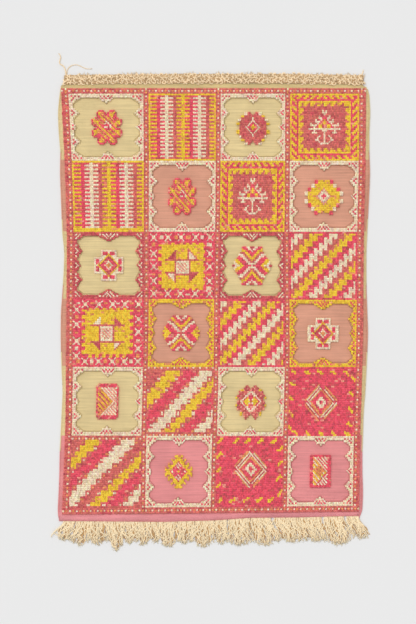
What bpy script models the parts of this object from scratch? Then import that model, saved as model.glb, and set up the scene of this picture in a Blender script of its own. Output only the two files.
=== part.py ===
"""Berber rug: flat-woven windows sunk in a knotted pile, a knotted head and a loose warp fringe.

Metres, +Z up. The rug lies face up on the plane z = 0, its knotted head towards +Y and its long
fringe towards -Y. The origin is under the middle of everything, yarn ends included.
Places in the pile are given in knots on the weaver's chart: columns from the left selvage and
rows from the head.
"""
import math
import random

import bmesh
import bpy
from mathutils import Vector

GROUND_THICK = 0.004
PILE_TOP = 0.010
PILE_ROOT = 0.003
MOTIF_TOP = 0.0105
PIECE_GAP = 0.0003
WINDOW_FLARE = 1.012
MOTIF_FLARE = 0.965
EDGE_UNEVENNESS = 0.22
SEED = 41

# The weaver's chart, in knots
CELL_COLUMNS = 41
CELL_ROWS = 37
BAND_KNOTS = 3
OUTER_BAND_KNOTS = 4
CELLS_ACROSS = 4
CELLS_DOWN = 6
CELL_STEP = CELL_COLUMNS + BAND_KNOTS
FIRST_DOTS = OUTER_BAND_KNOTS - 1.5
DOT_COLUMNS = [FIRST_DOTS + CELL_STEP * k for k in range(CELLS_ACROSS + 1)]
CHART_COLUMNS = 2 * OUTER_BAND_KNOTS + CELLS_ACROSS * CELL_STEP - BAND_KNOTS
CHART_ROWS = 2 * BAND_KNOTS + CELLS_DOWN * CELL_ROWS

# Where the chart lies on the rug: a row for each line between two rows of cells
CHART_LINES = (
    # chart row, y at the left, y at the right, x of each of the five dotted columns
    (3, 0.836, 0.836, (-0.580, -0.259, 0.029, 0.306, 0.602)),
    (40, 0.568, 0.568, (-0.567, -0.258, 0.029, 0.305, 0.600)),
    (77, 0.284, 0.284, (-0.559, -0.258, 0.026, 0.303, 0.594)),
    (114, 0.018, 0.012, (-0.560, -0.258, 0.022, 0.304, 0.592)),
    (151, -0.255, -0.256, (-0.562, -0.262, 0.020, 0.304, 0.588)),
    (188, -0.530, -0.532, (-0.566, -0.268, 0.014, 0.298, 0.580)),
    (225, -0.820, -0.810, (-0.577, -0.272, 0.008, 0.294, 0.575)),
)

# The cloth's edges
SELVAGES = (
    # y, x of the left edge, x of the right edge
    (0.844, -0.603, 0.631),
    (0.764, -0.611, 0.636),
    (0.684, -0.608, 0.632),
    (0.604, -0.601, 0.632),
    (0.524, -0.603, 0.635),
    (0.444, -0.600, 0.632),
    (0.364, -0.597, 0.628),
    (0.284, -0.594, 0.624),
    (0.204, -0.585, 0.620),
    (0.124, -0.588, 0.620),
    (0.044, -0.593, 0.621),
    (-0.036, -0.599, 0.624),
    (-0.116, -0.600, 0.627),
    (-0.196, -0.599, 0.624),
    (-0.276, -0.596, 0.620),
    (-0.356, -0.592, 0.616),
    (-0.436, -0.596, 0.609),
    (-0.516, -0.600, 0.607),
    (-0.596, -0.604, 0.604),
    (-0.676, -0.605, 0.604),
    (-0.756, -0.608, 0.607),
    (-0.828, -0.612, 0.604),
)
HEAD_EDGE = (
    # x, y
    (-0.597, 0.872),
    (-0.444, 0.875),
    (-0.200, 0.877),
    (0.028, 0.878),
    (0.308, 0.877),
    (0.516, 0.874),
    (0.606, 0.872),
)
FOOT_EDGE = (
    # x, y
    (-0.592, -0.872),
    (-0.184, -0.875),
    (0.016, -0.869),
    (0.156, -0.859),
    (0.356, -0.857),
    (0.516, -0.853),
    (0.592, -0.852),
)
HEAD_RIGHT_CORNER = ((0.617, 0.867), (0.626, 0.857))
FOOT_RIGHT_CORNER = ((0.599, -0.842),)
FOOT_LEFT_CORNER = ((-0.609, -0.858),)

# Flat windows in the pile: borders and triangles in knots
WINDOW_SHAPES = {
    # plain edge, corner width and height, head triangle half width and depth,
    # side triangle half height and depth, small middle triangle half height and depth
    "narrow": dict(edge=2.0, corner=(6.5, 5.0), head=(3.8, 5.2), side=(2.9, 5.3), small=(2.2, 3.5)),
    "broad": dict(edge=2.2, corner=(5.5, 4.5), head=(6.0, 5.0), side=(4.3, 4.6), small=(3.2, 3.6)),
}
SIDE_TRIANGLE_AT = 8.0

# One motif of pile in the middle of each window: size in knots
MOTIFS = (
    # cell row, cell column, window shape, form, width, height, lobes, depth of the lobes
    (1, 1, "narrow", "lobed", 18.0, 18.5, 8, 0.10),
    (1, 3, "narrow", "lobed", 20.0, 18.5, 12, 0.07),
    (2, 2, "narrow", "lobed", 18.0, 18.5, 8, 0.10),
    (2, 4, "narrow", "lobed", 21.0, 18.5, 12, 0.07),
    (3, 1, "broad", "cross", 18.0, 18.0, 0, 0.50),
    (3, 3, "broad", "faceted", 25.0, 21.0, 0, 0.34),
    (4, 2, "broad", "faceted", 23.0, 20.0, 0, 0.34),
    (4, 4, "broad", "cross", 19.5, 18.0, 0, 0.50),
    (5, 1, "narrow", "tablet", 13.5, 18.5, 0, 0.12),
    (5, 3, "narrow", "lobed", 19.5, 18.5, 12, 0.08),
    (6, 2, "narrow", "pronged", 18.5, 18.5, 12, 0.16),
    (6, 4, "narrow", "tablet", 12.5, 18.0, 0, 0.10),
)
POINTS_PER_LOBE = 4

# Knotted head: warp ends tied back on themselves in two staggered rows of knots
HEAD_SPAN = (-0.589, 0.612)
HEAD_KNOT_PITCH = 0.019
HEAD_PROFILE = (
    # distance from the cloth, height between knots, height on a knot, which row the knot is in
    (0.000, 0.0040, 0.0040, None),
    (0.009, 0.0055, 0.0088, 0),
    (0.018, 0.0040, 0.0048, None),
    (0.027, 0.0055, 0.0090, 1),
    (0.034, 0.0042, 0.0042, None),
)
HEAD_EDGE_SWING = 0.0035
TUFT_EVERY = 3
TUFT_LENGTHS = (0.006, 0.017)
TUFT_LEAN = 0.005
TUFT_HALF_WIDTH = 0.0022

# Loose yarn ends at the corners of the head, from the root outwards
HEAD_YARNS = (
    # half width, points that the yarn runs through after its root
    (0.0024, ((-0.585, 0.940), (-0.590, 0.948), (-0.606, 0.957), (-0.604, 0.971),
              (-0.601, 0.986), (-0.609, 0.9988))),
    (0.0016, ((-0.570, 0.942), (-0.558, 0.9495), (-0.528, 0.9505), (-0.512, 0.942),
              (-0.496, 0.936), (-0.475, 0.937))),
    (0.0026, ((0.607, 0.920), (0.609, 0.932))),
)
YARN_HEIGHT = 0.004

# Long fringe: locks of warp ends, a row for each lock
FRINGE_STRIP_DEPTH = 0.008
FRINGE_STRIP_HEIGHT = 0.0036
STRAND_PITCH = 0.0080
STRAND_HALF_WIDTH = 0.0026
STRAND_HEIGHT = 0.0046
STRAND_FILL = 0.38
STRAND_TIP_SHARE = 0.62
FRINGE_UNEVENNESS = 0.012
STRAND_STATIONS = (0.34, 0.70, 1.0)
LOCKS = (
    # roots from x to x, tips from x to x, y that the longest strand reaches
    (-0.590, -0.543, -0.645, -0.560, -0.952),
    (-0.541, -0.486, -0.549, -0.494, -0.980),
    (-0.485, -0.414, -0.480, -0.420, -0.975),
    (-0.413, -0.356, -0.398, -0.358, -1.000),
    (-0.355, -0.300, -0.346, -0.303, -0.969),
    (-0.299, -0.244, -0.294, -0.247, -0.975),
    (-0.241, -0.212, -0.238, -0.211, -0.968),
    (-0.210, -0.136, -0.198, -0.142, -0.984),
    (-0.134, -0.066, -0.132, -0.079, -0.968),
    (-0.065, 0.012, -0.066, 0.006, -0.984),
    (0.014, 0.064, 0.024, 0.064, -0.974),
    (0.068, 0.156, 0.074, 0.160, -0.978),
    (0.159, 0.240, 0.172, 0.262, -0.978),
    (0.252, 0.348, 0.285, 0.374, -0.964),
    (0.349, 0.442, 0.382, 0.464, -0.960),
    (0.451, 0.531, 0.474, 0.544, -0.978),
    (0.541, 0.591, 0.562, 0.632, -0.948),
)

CLOTH_COLOUR = (0.60, 0.22, 0.19, 1.0)
YARN_COLOUR = (0.74, 0.57, 0.36, 1.0)
HEAD_COLOUR = (0.62, 0.45, 0.27, 1.0)
WOOL_ROUGHNESS = 0.92


def clear_scene():
    """Remove what the new file starts with."""
    for thing in list(bpy.data.objects):
        bpy.data.objects.remove(thing, do_unlink=True)


def make_material(name, colour):
    """Plain wool of one colour."""
    material = bpy.data.materials.new(name)
    material.use_nodes = True
    shader = material.node_tree.nodes["Principled BSDF"]
    shader.inputs["Base Color"].default_value = colour
    shader.inputs["Roughness"].default_value = WOOL_ROUGHNESS
    shader.inputs["Metallic"].default_value = 0.0
    return material


def make_object(name, bm, colour):
    """Turn a bmesh into a named object with faces outwards."""
    bmesh.ops.recalc_face_normals(bm, faces=bm.faces)
    mesh = bpy.data.meshes.new(name)
    bm.to_mesh(mesh)
    bm.free()
    thing = bpy.data.objects.new(name, mesh)
    mesh.materials.append(make_material(name, colour))
    bpy.context.scene.collection.objects.link(thing)
    return thing


def line_value(points, at):
    """Read a straight-line graph through (position, value) points, carried on past its ends."""
    index = 0
    while index < len(points) - 2 and at > points[index + 1][0]:
        index += 1
    (start, low), (end, high) = points[index], points[index + 1]
    return low + (high - low) * (at - start) / (end - start)


def smooth_value(points, at):
    """Read a smooth graph through (position, value) points, straight past its ends."""
    if not points[0][0] < at < points[-1][0]:
        return line_value(points, at)
    index = 0
    while at > points[index + 1][0]:
        index += 1
    before = points[max(index - 1, 0)]
    start, end = points[index], points[index + 1]
    after = points[min(index + 2, len(points) - 1)]
    step = end[0] - start[0]
    slope_in = (end[1] - before[1]) / (end[0] - before[0]) * step
    slope_out = (after[1] - start[1]) / (after[0] - start[0]) * step
    t = (at - start[0]) / step
    rise = end[1] - start[1]
    return (start[1] + t * slope_in + t * t * (3 * rise - 2 * slope_in - slope_out)
            + t * t * t * (slope_in + slope_out - 2 * rise))


def chart_point(column, row):
    """Place a point of the chart on the rug, where the weave draws in and slants."""
    dots = [(DOT_COLUMNS[k], smooth_value([(line[0], line[3][k]) for line in CHART_LINES], row))
            for k in range(CELLS_ACROSS + 1)]
    x = line_value(dots, column)
    left = line_value([(line[0], line[1]) for line in CHART_LINES], row)
    right = line_value([(line[0], line[2]) for line in CHART_LINES], row)
    share = (x - dots[0][1]) / (dots[-1][1] - dots[0][1])
    return Vector((x, left + (right - left) * share, 0.0))


def cell_middle(cell_row, cell_column):
    """Chart position of the middle of a cell."""
    column = OUTER_BAND_KNOTS + CELL_STEP * (cell_column - 1) + CELL_COLUMNS / 2
    row = BAND_KNOTS + CELL_ROWS * (cell_row - 0.5)
    return column, row


def cloth_outline():
    """Go round the cloth's edge: along the head, down the right, along the foot, up the left."""
    points = [Vector((x, y, 0.0)) for x, y in HEAD_EDGE + HEAD_RIGHT_CORNER]
    points += [Vector((right, y, 0.0)) for y, _, right in SELVAGES]
    points += [Vector((x, y, 0.0)) for x, y in FOOT_RIGHT_CORNER]
    points += [Vector((x, y, 0.0)) for x, y in reversed(FOOT_EDGE)]
    points += [Vector((x, y, 0.0)) for x, y in FOOT_LEFT_CORNER]
    points += [Vector((left, y, 0.0)) for y, left, _ in reversed(SELVAGES)]
    return points


def pile_outline():
    """Go round the outer edge of the dotted bands, with a few points along each cell."""
    across = [CHART_COLUMNS * k / (2 * CELLS_ACROSS) for k in range(2 * CELLS_ACROSS)]
    down = [CHART_ROWS * k / (3 * CELLS_DOWN) for k in range(3 * CELLS_DOWN)]
    points = [chart_point(column, 0) for column in across]
    points += [chart_point(CHART_COLUMNS, row) for row in down]
    points += [chart_point(CHART_COLUMNS - column, CHART_ROWS) for column in across]
    points += [chart_point(0, CHART_ROWS - row) for row in down]
    return points


def window_quarter(shape):
    """One quarter of a window's edge, in knots from the cell's middle, head side to right side."""
    half_width, half_height = CELL_COLUMNS / 2, CELL_ROWS / 2
    edge = shape["edge"]
    head_half, head_depth = shape["head"]
    side_half, side_depth = shape["side"]
    small_half, small_depth = shape["small"]
    corner_width, corner_height = shape["corner"]
    return [
        (0.0, half_height - head_depth),
        (head_half, half_height - edge),
        (half_width - corner_width, half_height - edge),
        (half_width - edge, half_height - corner_height),
        (half_width - edge, SIDE_TRIANGLE_AT + side_half),
        (half_width - side_depth, SIDE_TRIANGLE_AT),
        (half_width - edge, SIDE_TRIANGLE_AT - side_half),
        (half_width - edge, small_half),
        (half_width - small_depth, 0.0),
    ]


def window_outline(shape):
    """A whole window, in knots from the cell's middle."""
    quarter = window_quarter(WINDOW_SHAPES[shape])
    right = quarter + [(across, -up) for across, up in reversed(quarter[:-1])]
    return right + [(-across, up) for across, up in reversed(right[1:-1])]


def lobed_outline(width, height, lobes, depth):
    """A rosette with round lobes."""
    count = lobes * POINTS_PER_LOBE
    points = []
    for k in range(count):
        turn = 2 * math.pi * k / count
        reach = 1.0 - depth * (1.0 + math.cos(lobes * turn))
        points.append((width / 2 * reach * math.cos(turn), height / 2 * reach * math.sin(turn)))
    return points


def cross_outline(width, height, share):
    """A cross with square arms, each arm the given share of the whole width."""
    outer_x, outer_y = width / 2, height / 2
    inner_x, inner_y = outer_x * share, outer_y * share
    quarter = [(inner_x, outer_y), (inner_x, inner_y), (outer_x, inner_y)]
    right = quarter + [(across, -up) for across, up in reversed(quarter)]
    return right + [(-across, up) for across, up in reversed(right)]


def faceted_outline(width, height, share):
    """An eight-sided figure with a notched point at each side."""
    outer_x, outer_y = width / 2, height / 2
    quarter = [(outer_x * share, outer_y), (outer_x * 0.66, outer_y * 0.70), (outer_x * 0.80, outer_y * 0.32)]
    right = quarter + [(outer_x, 0.0)] + [(across, -up) for across, up in reversed(quarter)]
    return right + [(-across, up) for across, up in reversed(right)]


def tablet_outline(width, height, share):
    """A rectangle with soft corners and slightly hollow long sides."""
    outer_x, outer_y = width / 2, height / 2
    quarter = [(outer_x * (1 - 2 * share), outer_y), (outer_x, outer_y * (1 - share)), (outer_x * 0.94, 0.0)]
    right = quarter + [(across, -up) for across, up in reversed(quarter[:-1])]
    return right + [(-across, up) for across, up in reversed(right)]


def motif_outline(form, width, height, lobes, depth):
    """The outline of one motif, in knots from the cell's middle."""
    if form == "lobed":
        return lobed_outline(width, height, lobes, depth)
    if form == "pronged":
        return lobed_outline(width, height, lobes, depth)
    if form == "cross":
        return cross_outline(width, height, depth)
    if form == "faceted":
        return faceted_outline(width, height, depth)
    return tablet_outline(width, height, depth)


def add_prism(bm, outline, bottom, top, flare=1.0):
    """Add a closed block over an outline; its top is scaled about its middle by the flare."""
    floor = bm.faces.new([bm.verts.new((point.x, point.y, bottom)) for point in outline])
    raised = bmesh.ops.extrude_face_region(bm, geom=[floor])
    top_verts = [item for item in raised["geom"] if isinstance(item, bmesh.types.BMVert)]
    middle = sum((vert.co for vert in top_verts), Vector()) / len(top_verts)
    for vert in top_verts:
        vert.co = middle + (vert.co - middle) * flare
        vert.co.z = top


def add_cell_shape(bm, cell_row, cell_column, outline, bottom, top, flare, noise):
    """Add a block for a shape drawn in knots round the middle of a cell."""
    column, row = cell_middle(cell_row, cell_column)
    points = [chart_point(column + across + noise.uniform(-1, 1) * EDGE_UNEVENNESS,
                          row - up + noise.uniform(-1, 1) * EDGE_UNEVENNESS)
              for across, up in outline]
    add_prism(bm, points, bottom, top, flare)


def make_guide(thing):
    """Keep an object as a hidden guide for a Boolean."""
    thing.hide_render = True
    thing.display_type = "WIRE"


def combine(thing, other, operation):
    """Put a live exact Boolean on an object."""
    modifier = thing.modifiers.new(operation.title() + " " + other.name, "BOOLEAN")
    modifier.operation = operation
    modifier.object = other
    modifier.solver = "EXACT"
    make_guide(other)


def make_cloth():
    """The woven cloth: ground, raised pile, sunk windows and their motifs, as one solid."""
    noise = random.Random(SEED)
    ground = bmesh.new()
    add_prism(ground, cloth_outline(), 0.0, GROUND_THICK)
    pile = bmesh.new()
    add_prism(pile, pile_outline(), PILE_ROOT, PILE_TOP)
    windows = bmesh.new()
    motifs = bmesh.new()
    for cell_row, cell_column, shape, form, width, height, lobes, depth in MOTIFS:
        add_cell_shape(windows, cell_row, cell_column, window_outline(shape),
                       0.0, PILE_TOP + GROUND_THICK, WINDOW_FLARE, noise)
        add_cell_shape(motifs, cell_row, cell_column, motif_outline(form, width, height, lobes, depth),
                       PILE_ROOT, MOTIF_TOP, MOTIF_FLARE, noise)
    body = make_object("rug_body", ground, CLOTH_COLOUR)
    pile_field = make_object("pile_field", pile, CLOTH_COLOUR)
    window_cutters = make_object("window_cutters", windows, CLOTH_COLOUR)
    motif_blocks = make_object("motif_blocks", motifs, CLOTH_COLOUR)
    combine(pile_field, window_cutters, "DIFFERENCE")
    combine(body, pile_field, "UNION")
    combine(body, motif_blocks, "UNION")


def corner_signs(face):
    """For each corner of a root face: -1 or 1 across it, and 0 on the floor or 1 above."""
    middle = face.calc_center_median()
    return [(1 if vert.co.x > middle.x else -1, 1 if vert.co.z > middle.z else 0) for vert in face.verts]


def grow_strand(bm, root, sections, turn):
    """Extrude a root face through sections of (x, y, half width, height), flat on the floor."""
    signs = corner_signs(root)
    face = root
    previous = root.calc_center_median()
    for x, y, half_width, height in sections:
        way = Vector((x - previous.x, y - previous.y, 0.0)).normalized()
        across = Vector((way.y, -way.x, 0.0)) * turn
        face = bmesh.ops.extrude_discrete_faces(bm, faces=[face])["faces"][0]
        for vert, (side, level) in zip(face.verts, signs):
            vert.co = Vector((x, y, level * height)) + across * side * half_width
        previous = Vector((x, y, 0.0))


def strip_faces(bm, rings):
    """Join neighbouring rings of corners into a closed strip; return its outermost wall faces."""
    walls = []
    for ring, following in zip(rings, rings[1:]):
        count = len(ring)
        for k in range(count):
            corners = (ring[k], ring[(k + 1) % count], following[(k + 1) % count], following[k])
            face = bm.faces.new(corners)
            if k == count - 2:
                walls.append(face)
    bm.faces.new(rings[0])
    bm.faces.new(rings[-1])
    return walls


def fringe_roots():
    """Each strand of the long fringe: root x, tip x, pitch at the tip, its own and its lock's reach."""
    noise = random.Random(SEED + 1)
    roots = []
    for root_from, root_to, tip_from, tip_to, reach in LOCKS:
        count = max(2, round((root_to - root_from) / STRAND_PITCH))
        for k in range(count):
            share = (k + 0.5) / count
            root = root_from + (root_to - root_from) * share
            tip = tip_from + (tip_to - tip_from) * share
            spread = (tip_to - tip_from) / count
            shorter = FRINGE_UNEVENNESS * (abs(2 * share - 1) ** 2 + 0.4 * noise.random())
            own_reach = reach if k == count // 2 else reach + shorter
            roots.append((root, tip, spread, own_reach, reach))
    return roots


def make_long_fringe():
    """Warp ends in locks along the foot, on a narrow strip beside the cloth's edge."""
    bm = bmesh.new()
    roots = fringe_roots()
    rings = []
    for root, *_ in roots:
        for x in (root - STRAND_HALF_WIDTH, root + STRAND_HALF_WIDTH):
            edge = line_value(FOOT_EDGE, x) - PIECE_GAP
            outer = edge - FRINGE_STRIP_DEPTH
            corners = ((edge, 0.0), (edge, FRINGE_STRIP_HEIGHT), (outer, FRINGE_STRIP_HEIGHT), (outer, 0.0))
            rings.append([bm.verts.new((x, y, z)) for y, z in corners])
    walls = strip_faces(bm, rings)[::2]
    for wall, (root, tip, spread, own_reach, reach) in zip(walls, roots):
        start = wall.calc_center_median().y
        sections = []
        for station in STRAND_STATIONS:
            y = start + (own_reach - start) * station
            along = (y - start) / (reach - start)
            bend = along * along * (3 - 2 * along)
            room = STRAND_PITCH + (spread - STRAND_PITCH) * bend
            half_width = min(STRAND_HALF_WIDTH, STRAND_FILL * room)
            thinner = STRAND_TIP_SHARE if station == STRAND_STATIONS[-1] else 1.0
            x = root + (tip - root) * bend
            sections.append((x, y, half_width * thinner, STRAND_HEIGHT * thinner))
        grow_strand(bm, wall, sections, -1)
    make_object("fringe_foot", bm, YARN_COLOUR)


def head_ring(bm, station, swing):
    """One cross-section of the knotted head."""
    x = HEAD_SPAN[0] + station * HEAD_KNOT_PITCH / 2
    edge = line_value(HEAD_EDGE, min(x, HEAD_EDGE[-1][0])) + PIECE_GAP
    on_floor = (edge, edge + HEAD_PROFILE[-1][0] + swing)
    ring = [bm.verts.new((x, on_floor[0], 0.0))]
    for distance, low, high, row in HEAD_PROFILE:
        knotted = row is not None and station % 2 == row
        outward = distance + (swing if distance == HEAD_PROFILE[-1][0] else 0.0)
        ring.append(bm.verts.new((x, edge + outward, high if knotted else low)))
    ring.append(bm.verts.new((x, on_floor[1], 0.0)))
    return ring


def make_head():
    """Warp ends knotted into a lumpy band along the head, with short tufts and loose yarn ends."""
    noise = random.Random(SEED + 2)
    bm = bmesh.new()
    count = round((HEAD_SPAN[1] - HEAD_SPAN[0]) / (HEAD_KNOT_PITCH / 2))
    rings = [head_ring(bm, station, noise.uniform(-1, 1) * HEAD_EDGE_SWING) for station in range(count + 1)]
    walls = strip_faces(bm, rings)
    middles = [wall.calc_center_median() for wall in walls]
    taken = []
    for half_width, route in HEAD_YARNS:
        root = min(range(count), key=lambda index: abs(middles[index].x - route[0][0]))
        taken.append(root)
        grow_strand(bm, walls[root], [(x, y, half_width, YARN_HEIGHT) for x, y in route], 1)
    for index in range(TUFT_EVERY, count, TUFT_EVERY):
        if min(abs(index - root) for root in taken) < 2:
            continue
        x, y, _ = middles[index]
        length = noise.uniform(*TUFT_LENGTHS)
        lean = noise.uniform(-1, 1) * TUFT_LEAN
        half = (x + lean / 2, y + length / 2, TUFT_HALF_WIDTH, YARN_HEIGHT)
        tip = (x + lean, y + length, TUFT_HALF_WIDTH / 2, YARN_HEIGHT / 2)
        grow_strand(bm, walls[index], (half, tip), 1)
    make_object("fringe_head", bm, HEAD_COLOUR)


def main():
    clear_scene()
    make_cloth()
    make_long_fringe()
    make_head()


main()
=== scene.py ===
"""Looks of the berber rug: knotted pile, flat weave, knotted head and long warp fringe.

Metres, +Z up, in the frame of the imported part: head towards +Y, long fringe towards -Y.
The pattern is charted in knots, columns from the left selvage and rows from the head.
"""
import math

import bmesh
import bpy
import numpy as np
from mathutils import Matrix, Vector


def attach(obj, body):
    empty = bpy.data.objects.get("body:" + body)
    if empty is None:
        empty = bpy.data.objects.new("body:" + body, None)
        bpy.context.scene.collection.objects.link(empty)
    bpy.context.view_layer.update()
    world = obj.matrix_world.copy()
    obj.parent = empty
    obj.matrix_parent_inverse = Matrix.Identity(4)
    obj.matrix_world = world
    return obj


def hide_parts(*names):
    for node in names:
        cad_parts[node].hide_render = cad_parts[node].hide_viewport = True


bl_info = {
    "name": "Berber rug",
    "version": (1, 0, 0),
    "blender": (4, 5, 0),
    "location": "View3D > Sidebar > Rug",
    "description": "Builds a knotted rug with flat windows, a knotted head and a long fringe",
    "category": "Add Mesh",
}

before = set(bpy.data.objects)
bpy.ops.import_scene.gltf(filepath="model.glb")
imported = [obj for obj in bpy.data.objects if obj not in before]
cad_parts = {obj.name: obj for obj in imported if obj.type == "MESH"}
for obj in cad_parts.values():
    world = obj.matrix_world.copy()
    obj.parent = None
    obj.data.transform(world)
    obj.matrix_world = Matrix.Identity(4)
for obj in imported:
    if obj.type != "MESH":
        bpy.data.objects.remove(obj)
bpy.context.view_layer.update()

# The weaver's chart, in knots
CELL_COLUMNS = 41
CELL_ROWS = 37
BAND_KNOTS = 3
OUTER_BAND_KNOTS = 4
CELLS_ACROSS = 4
CELLS_DOWN = 6
CELL_STEP = CELL_COLUMNS + BAND_KNOTS
FIRST_DOTS = OUTER_BAND_KNOTS - 1.5
DOT_COLUMNS = [FIRST_DOTS + CELL_STEP * k for k in range(CELLS_ACROSS + 1)]
CHART_COLUMNS = 2 * OUTER_BAND_KNOTS + CELLS_ACROSS * CELL_STEP - BAND_KNOTS
CHART_ROWS = 2 * BAND_KNOTS + CELLS_DOWN * CELL_ROWS

CHART_LINES = (
    # chart row, y at the left, y at the right, x of each of the five dotted columns
    (3, 0.836, 0.836, (-0.580, -0.259, 0.029, 0.306, 0.602)),
    (40, 0.568, 0.568, (-0.567, -0.258, 0.029, 0.305, 0.600)),
    (77, 0.284, 0.284, (-0.559, -0.258, 0.026, 0.303, 0.594)),
    (114, 0.018, 0.012, (-0.560, -0.258, 0.022, 0.304, 0.592)),
    (151, -0.255, -0.256, (-0.562, -0.262, 0.020, 0.304, 0.588)),
    (188, -0.530, -0.532, (-0.566, -0.268, 0.014, 0.298, 0.580)),
    (225, -0.820, -0.810, (-0.577, -0.272, 0.008, 0.294, 0.575)),
)

# Yarns, and the letters that stand for them in the charts
FLAT, DUSKY, RED, CRIMSON, YELLOW, ORANGE, CREAM, PINK = range(8)
LETTERS = {letter: yarn for yarn, letter in enumerate(".DRKYOCP")}

# Edges of the windows in knots: width of the border, size of the cut corners, and half width and depth of
# the triangles at the head and foot, of the pair at each side and of the small one between that pair
WINDOW_SHAPES = {
    "narrow": dict(edge=2.0, corner=(6.5, 5.0), head=(3.8, 5.2), side=(2.9, 5.3), small=(2.2, 3.5)),
    "broad": dict(edge=2.2, corner=(5.5, 4.5), head=(6.0, 5.0), side=(4.3, 4.6), small=(3.2, 3.6)),
}
SIDE_TRIANGLE_AT = 8.0
MOTIF_REACH = 13

# Flat windows: shape, yarn of the border, yarn of its hatching, motif and, where it takes one, its size
WINDOW_CELLS = {
    (1, 1): ("narrow", CREAM, RED, "interlace"),
    (1, 3): ("narrow", CREAM, RED, "dark rosette"),
    (2, 2): ("narrow", CREAM, RED, "interlace"),
    (2, 4): ("narrow", CREAM, RED, "light rosette"),
    (3, 1): ("broad", CRIMSON, CREAM, "cross", (18.0, 18.0)),
    (3, 3): ("broad", CRIMSON, CREAM, "faceted", (25.0, 21.0)),
    (4, 2): ("broad", YELLOW, RED, "hearted", (22.5, 19.6)),
    (4, 4): ("broad", YELLOW, RED, "cross", (19.5, 18.0)),
    (5, 1): ("narrow", CREAM, RED, "arrow tablet", (13.5, 18.5)),
    (5, 3): ("narrow", CREAM, RED, "diamond rosette"),
    (6, 2): ("narrow", CREAM, RED, "pronged ring"),
    (6, 4): ("narrow", CREAM, RED, "gem tablet", (12.5, 18.0)),
}

# Motifs in knots from their middle, across and down; where one side is given, the other is alike.
# Rings are yarns with the outer limit of each, in shares of a diamond's half size.
INTERLACE_LOBES = ((2.9, -7.1), (6.1, -2.8), (6.1, 2.9), (2.9, 7.1))
INTERLACE_LOBE, INTERLACE_BODY, INTERLACE_CORE = (2.75, 2.3), (5.4, 7.4), (5.2, 6.9)
INTERLACE_HEART = (2.9, 3.1)
DARK_ROSETTE = ((0.0, -6.8), (1.5, -8.5), (3.6, -8.4), (5.2, -6.8), (7.2, -5.3), (8.6, -3.2), (9.0, 2.4),
                (7.9, 5.0), (6.0, 6.4), (3.9, 9.2), (1.5, 9.1), (0.0, 7.2))
DARK_SPOTS = ((4.6, -7.5, CREAM), (6.4, -6.1, YELLOW), (8.4, -4.3, CREAM), (9.6, -2.0, YELLOW),
              (9.6, 2.4, YELLOW), (8.2, 5.3, CREAM), (6.5, 6.9, YELLOW), (4.6, 8.8, CREAM))
DARK_DIAMOND = (3.9, 4.7)
LIGHT_ROSETTE = ((0.0, -7.6), (1.2, -8.8), (3.5, -8.7), (4.8, -6.8), (7.0, -5.6), (7.6, -4.2), (9.8, -2.6),
                 (9.4, 0.2), (9.8, 2.8), (7.8, 4.6), (7.2, 6.6), (4.9, 7.2), (3.6, 9.0), (1.3, 8.9),
                 (0.0, 7.8))
LIGHT_SPOTS = ((4.5, -7.5, RED), (6.5, -5.5, CREAM), (8.5, -3.5, RED), (10.5, -1.5, CREAM),
               (10.5, 2.5, CREAM), (8.5, 4.5, RED), (6.5, 6.5, CREAM), (4.5, 8.5, RED))
LIGHT_DIAMOND = (3.7, 4.0)
LIGHT_RINGS = ((0.45, RED), (1.0, CREAM), (1.22, PINK))
PETALS = ((0.0, -6.8), (1.6, -8.6), (3.8, -8.4), (4.8, -5.8), (7.6, -4.8), (8.2, -3.0), (7.4, -1.4),
          (8.6, 0.2), (7.8, 1.8), (8.3, 4.2), (6.2, 5.2), (4.4, 5.6), (4.6, 8.2), (3.2, 9.2), (1.8, 8.6),
          (0.0, 6.4))
PETAL_SPOTS = ((5.5, -5.7, YELLOW), (9.1, -1.9, YELLOW), (9.1, 2.0, YELLOW), (5.7, 6.6, YELLOW))
PETAL_DIAMOND, PETAL_EYE, PETAL_STONE = (6.4, 5.5), (1.9, 2.9), (1.9, 1.6)
PETAL_EYES_AT, PETAL_STONES_AT = 2.3, 2.9
SPOT_HALF = 0.62
CROSS_DIAMOND = (6.6, 6.4)
CROSS_RINGS = ((0.17, ORANGE), (0.30, CRIMSON), (0.44, CREAM), (0.62, RED), (0.82, CRIMSON), (1.04, YELLOW))
CROSS_BLOCKS = (
    # across, down, half width, half height
    (2.2, 6.3, 1.4, 1.2),
    (6.5, 2.3, 1.4, 1.4),
)
RING_HEIGHT, RING_INSIDE, RING_OUTSIDE, PRONG_FROM, PRONG_TO = 0.93, 5.4, 7.6, 6.5, 9.9
PRONG_LINES, PRONG_HALF = (-6.2, -2.0, 2.4, 6.8), 0.8
RING_CURL, RING_DOT = (0.0, 3.4, 1.8, 1.7), (3.8, 0.0, 0.6, 0.6)

# Quartered motifs: outline in shares of the half size, and yarns of the chevrons with their outer limits
FACETED = ((0.48, 1.0), (0.60, 0.64), (0.80, 0.34), (1.0, 0.0))
FACETED_ENDS = ((1.1, CREAM), (3.0, DUSKY), (4.8, YELLOW), (7.3, RED), (8.9, CREAM))
FACETED_SIDES = ((5.4, RED), (8.0, YELLOW), (10.5, CREAM))
HEARTED = ((0.40, 1.0), (0.70, 0.68), (0.92, 0.30), (1.0, 0.14), (1.0, 0.0))
HEARTED_ENDS = ((1.0, CREAM), (2.2, DUSKY), (4.1, YELLOW), (6.2, RED), (7.7, CREAM))
HEARTED_SIDES = ((6.4, RED), (10.6, YELLOW))
HEARTED_MIDDLE = (0.0, 0.0, 1.0, 1.6)
END_SLOPE, SIDE_SLOPE, QUARTERING = 0.82, 1.1, 0.8

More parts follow.
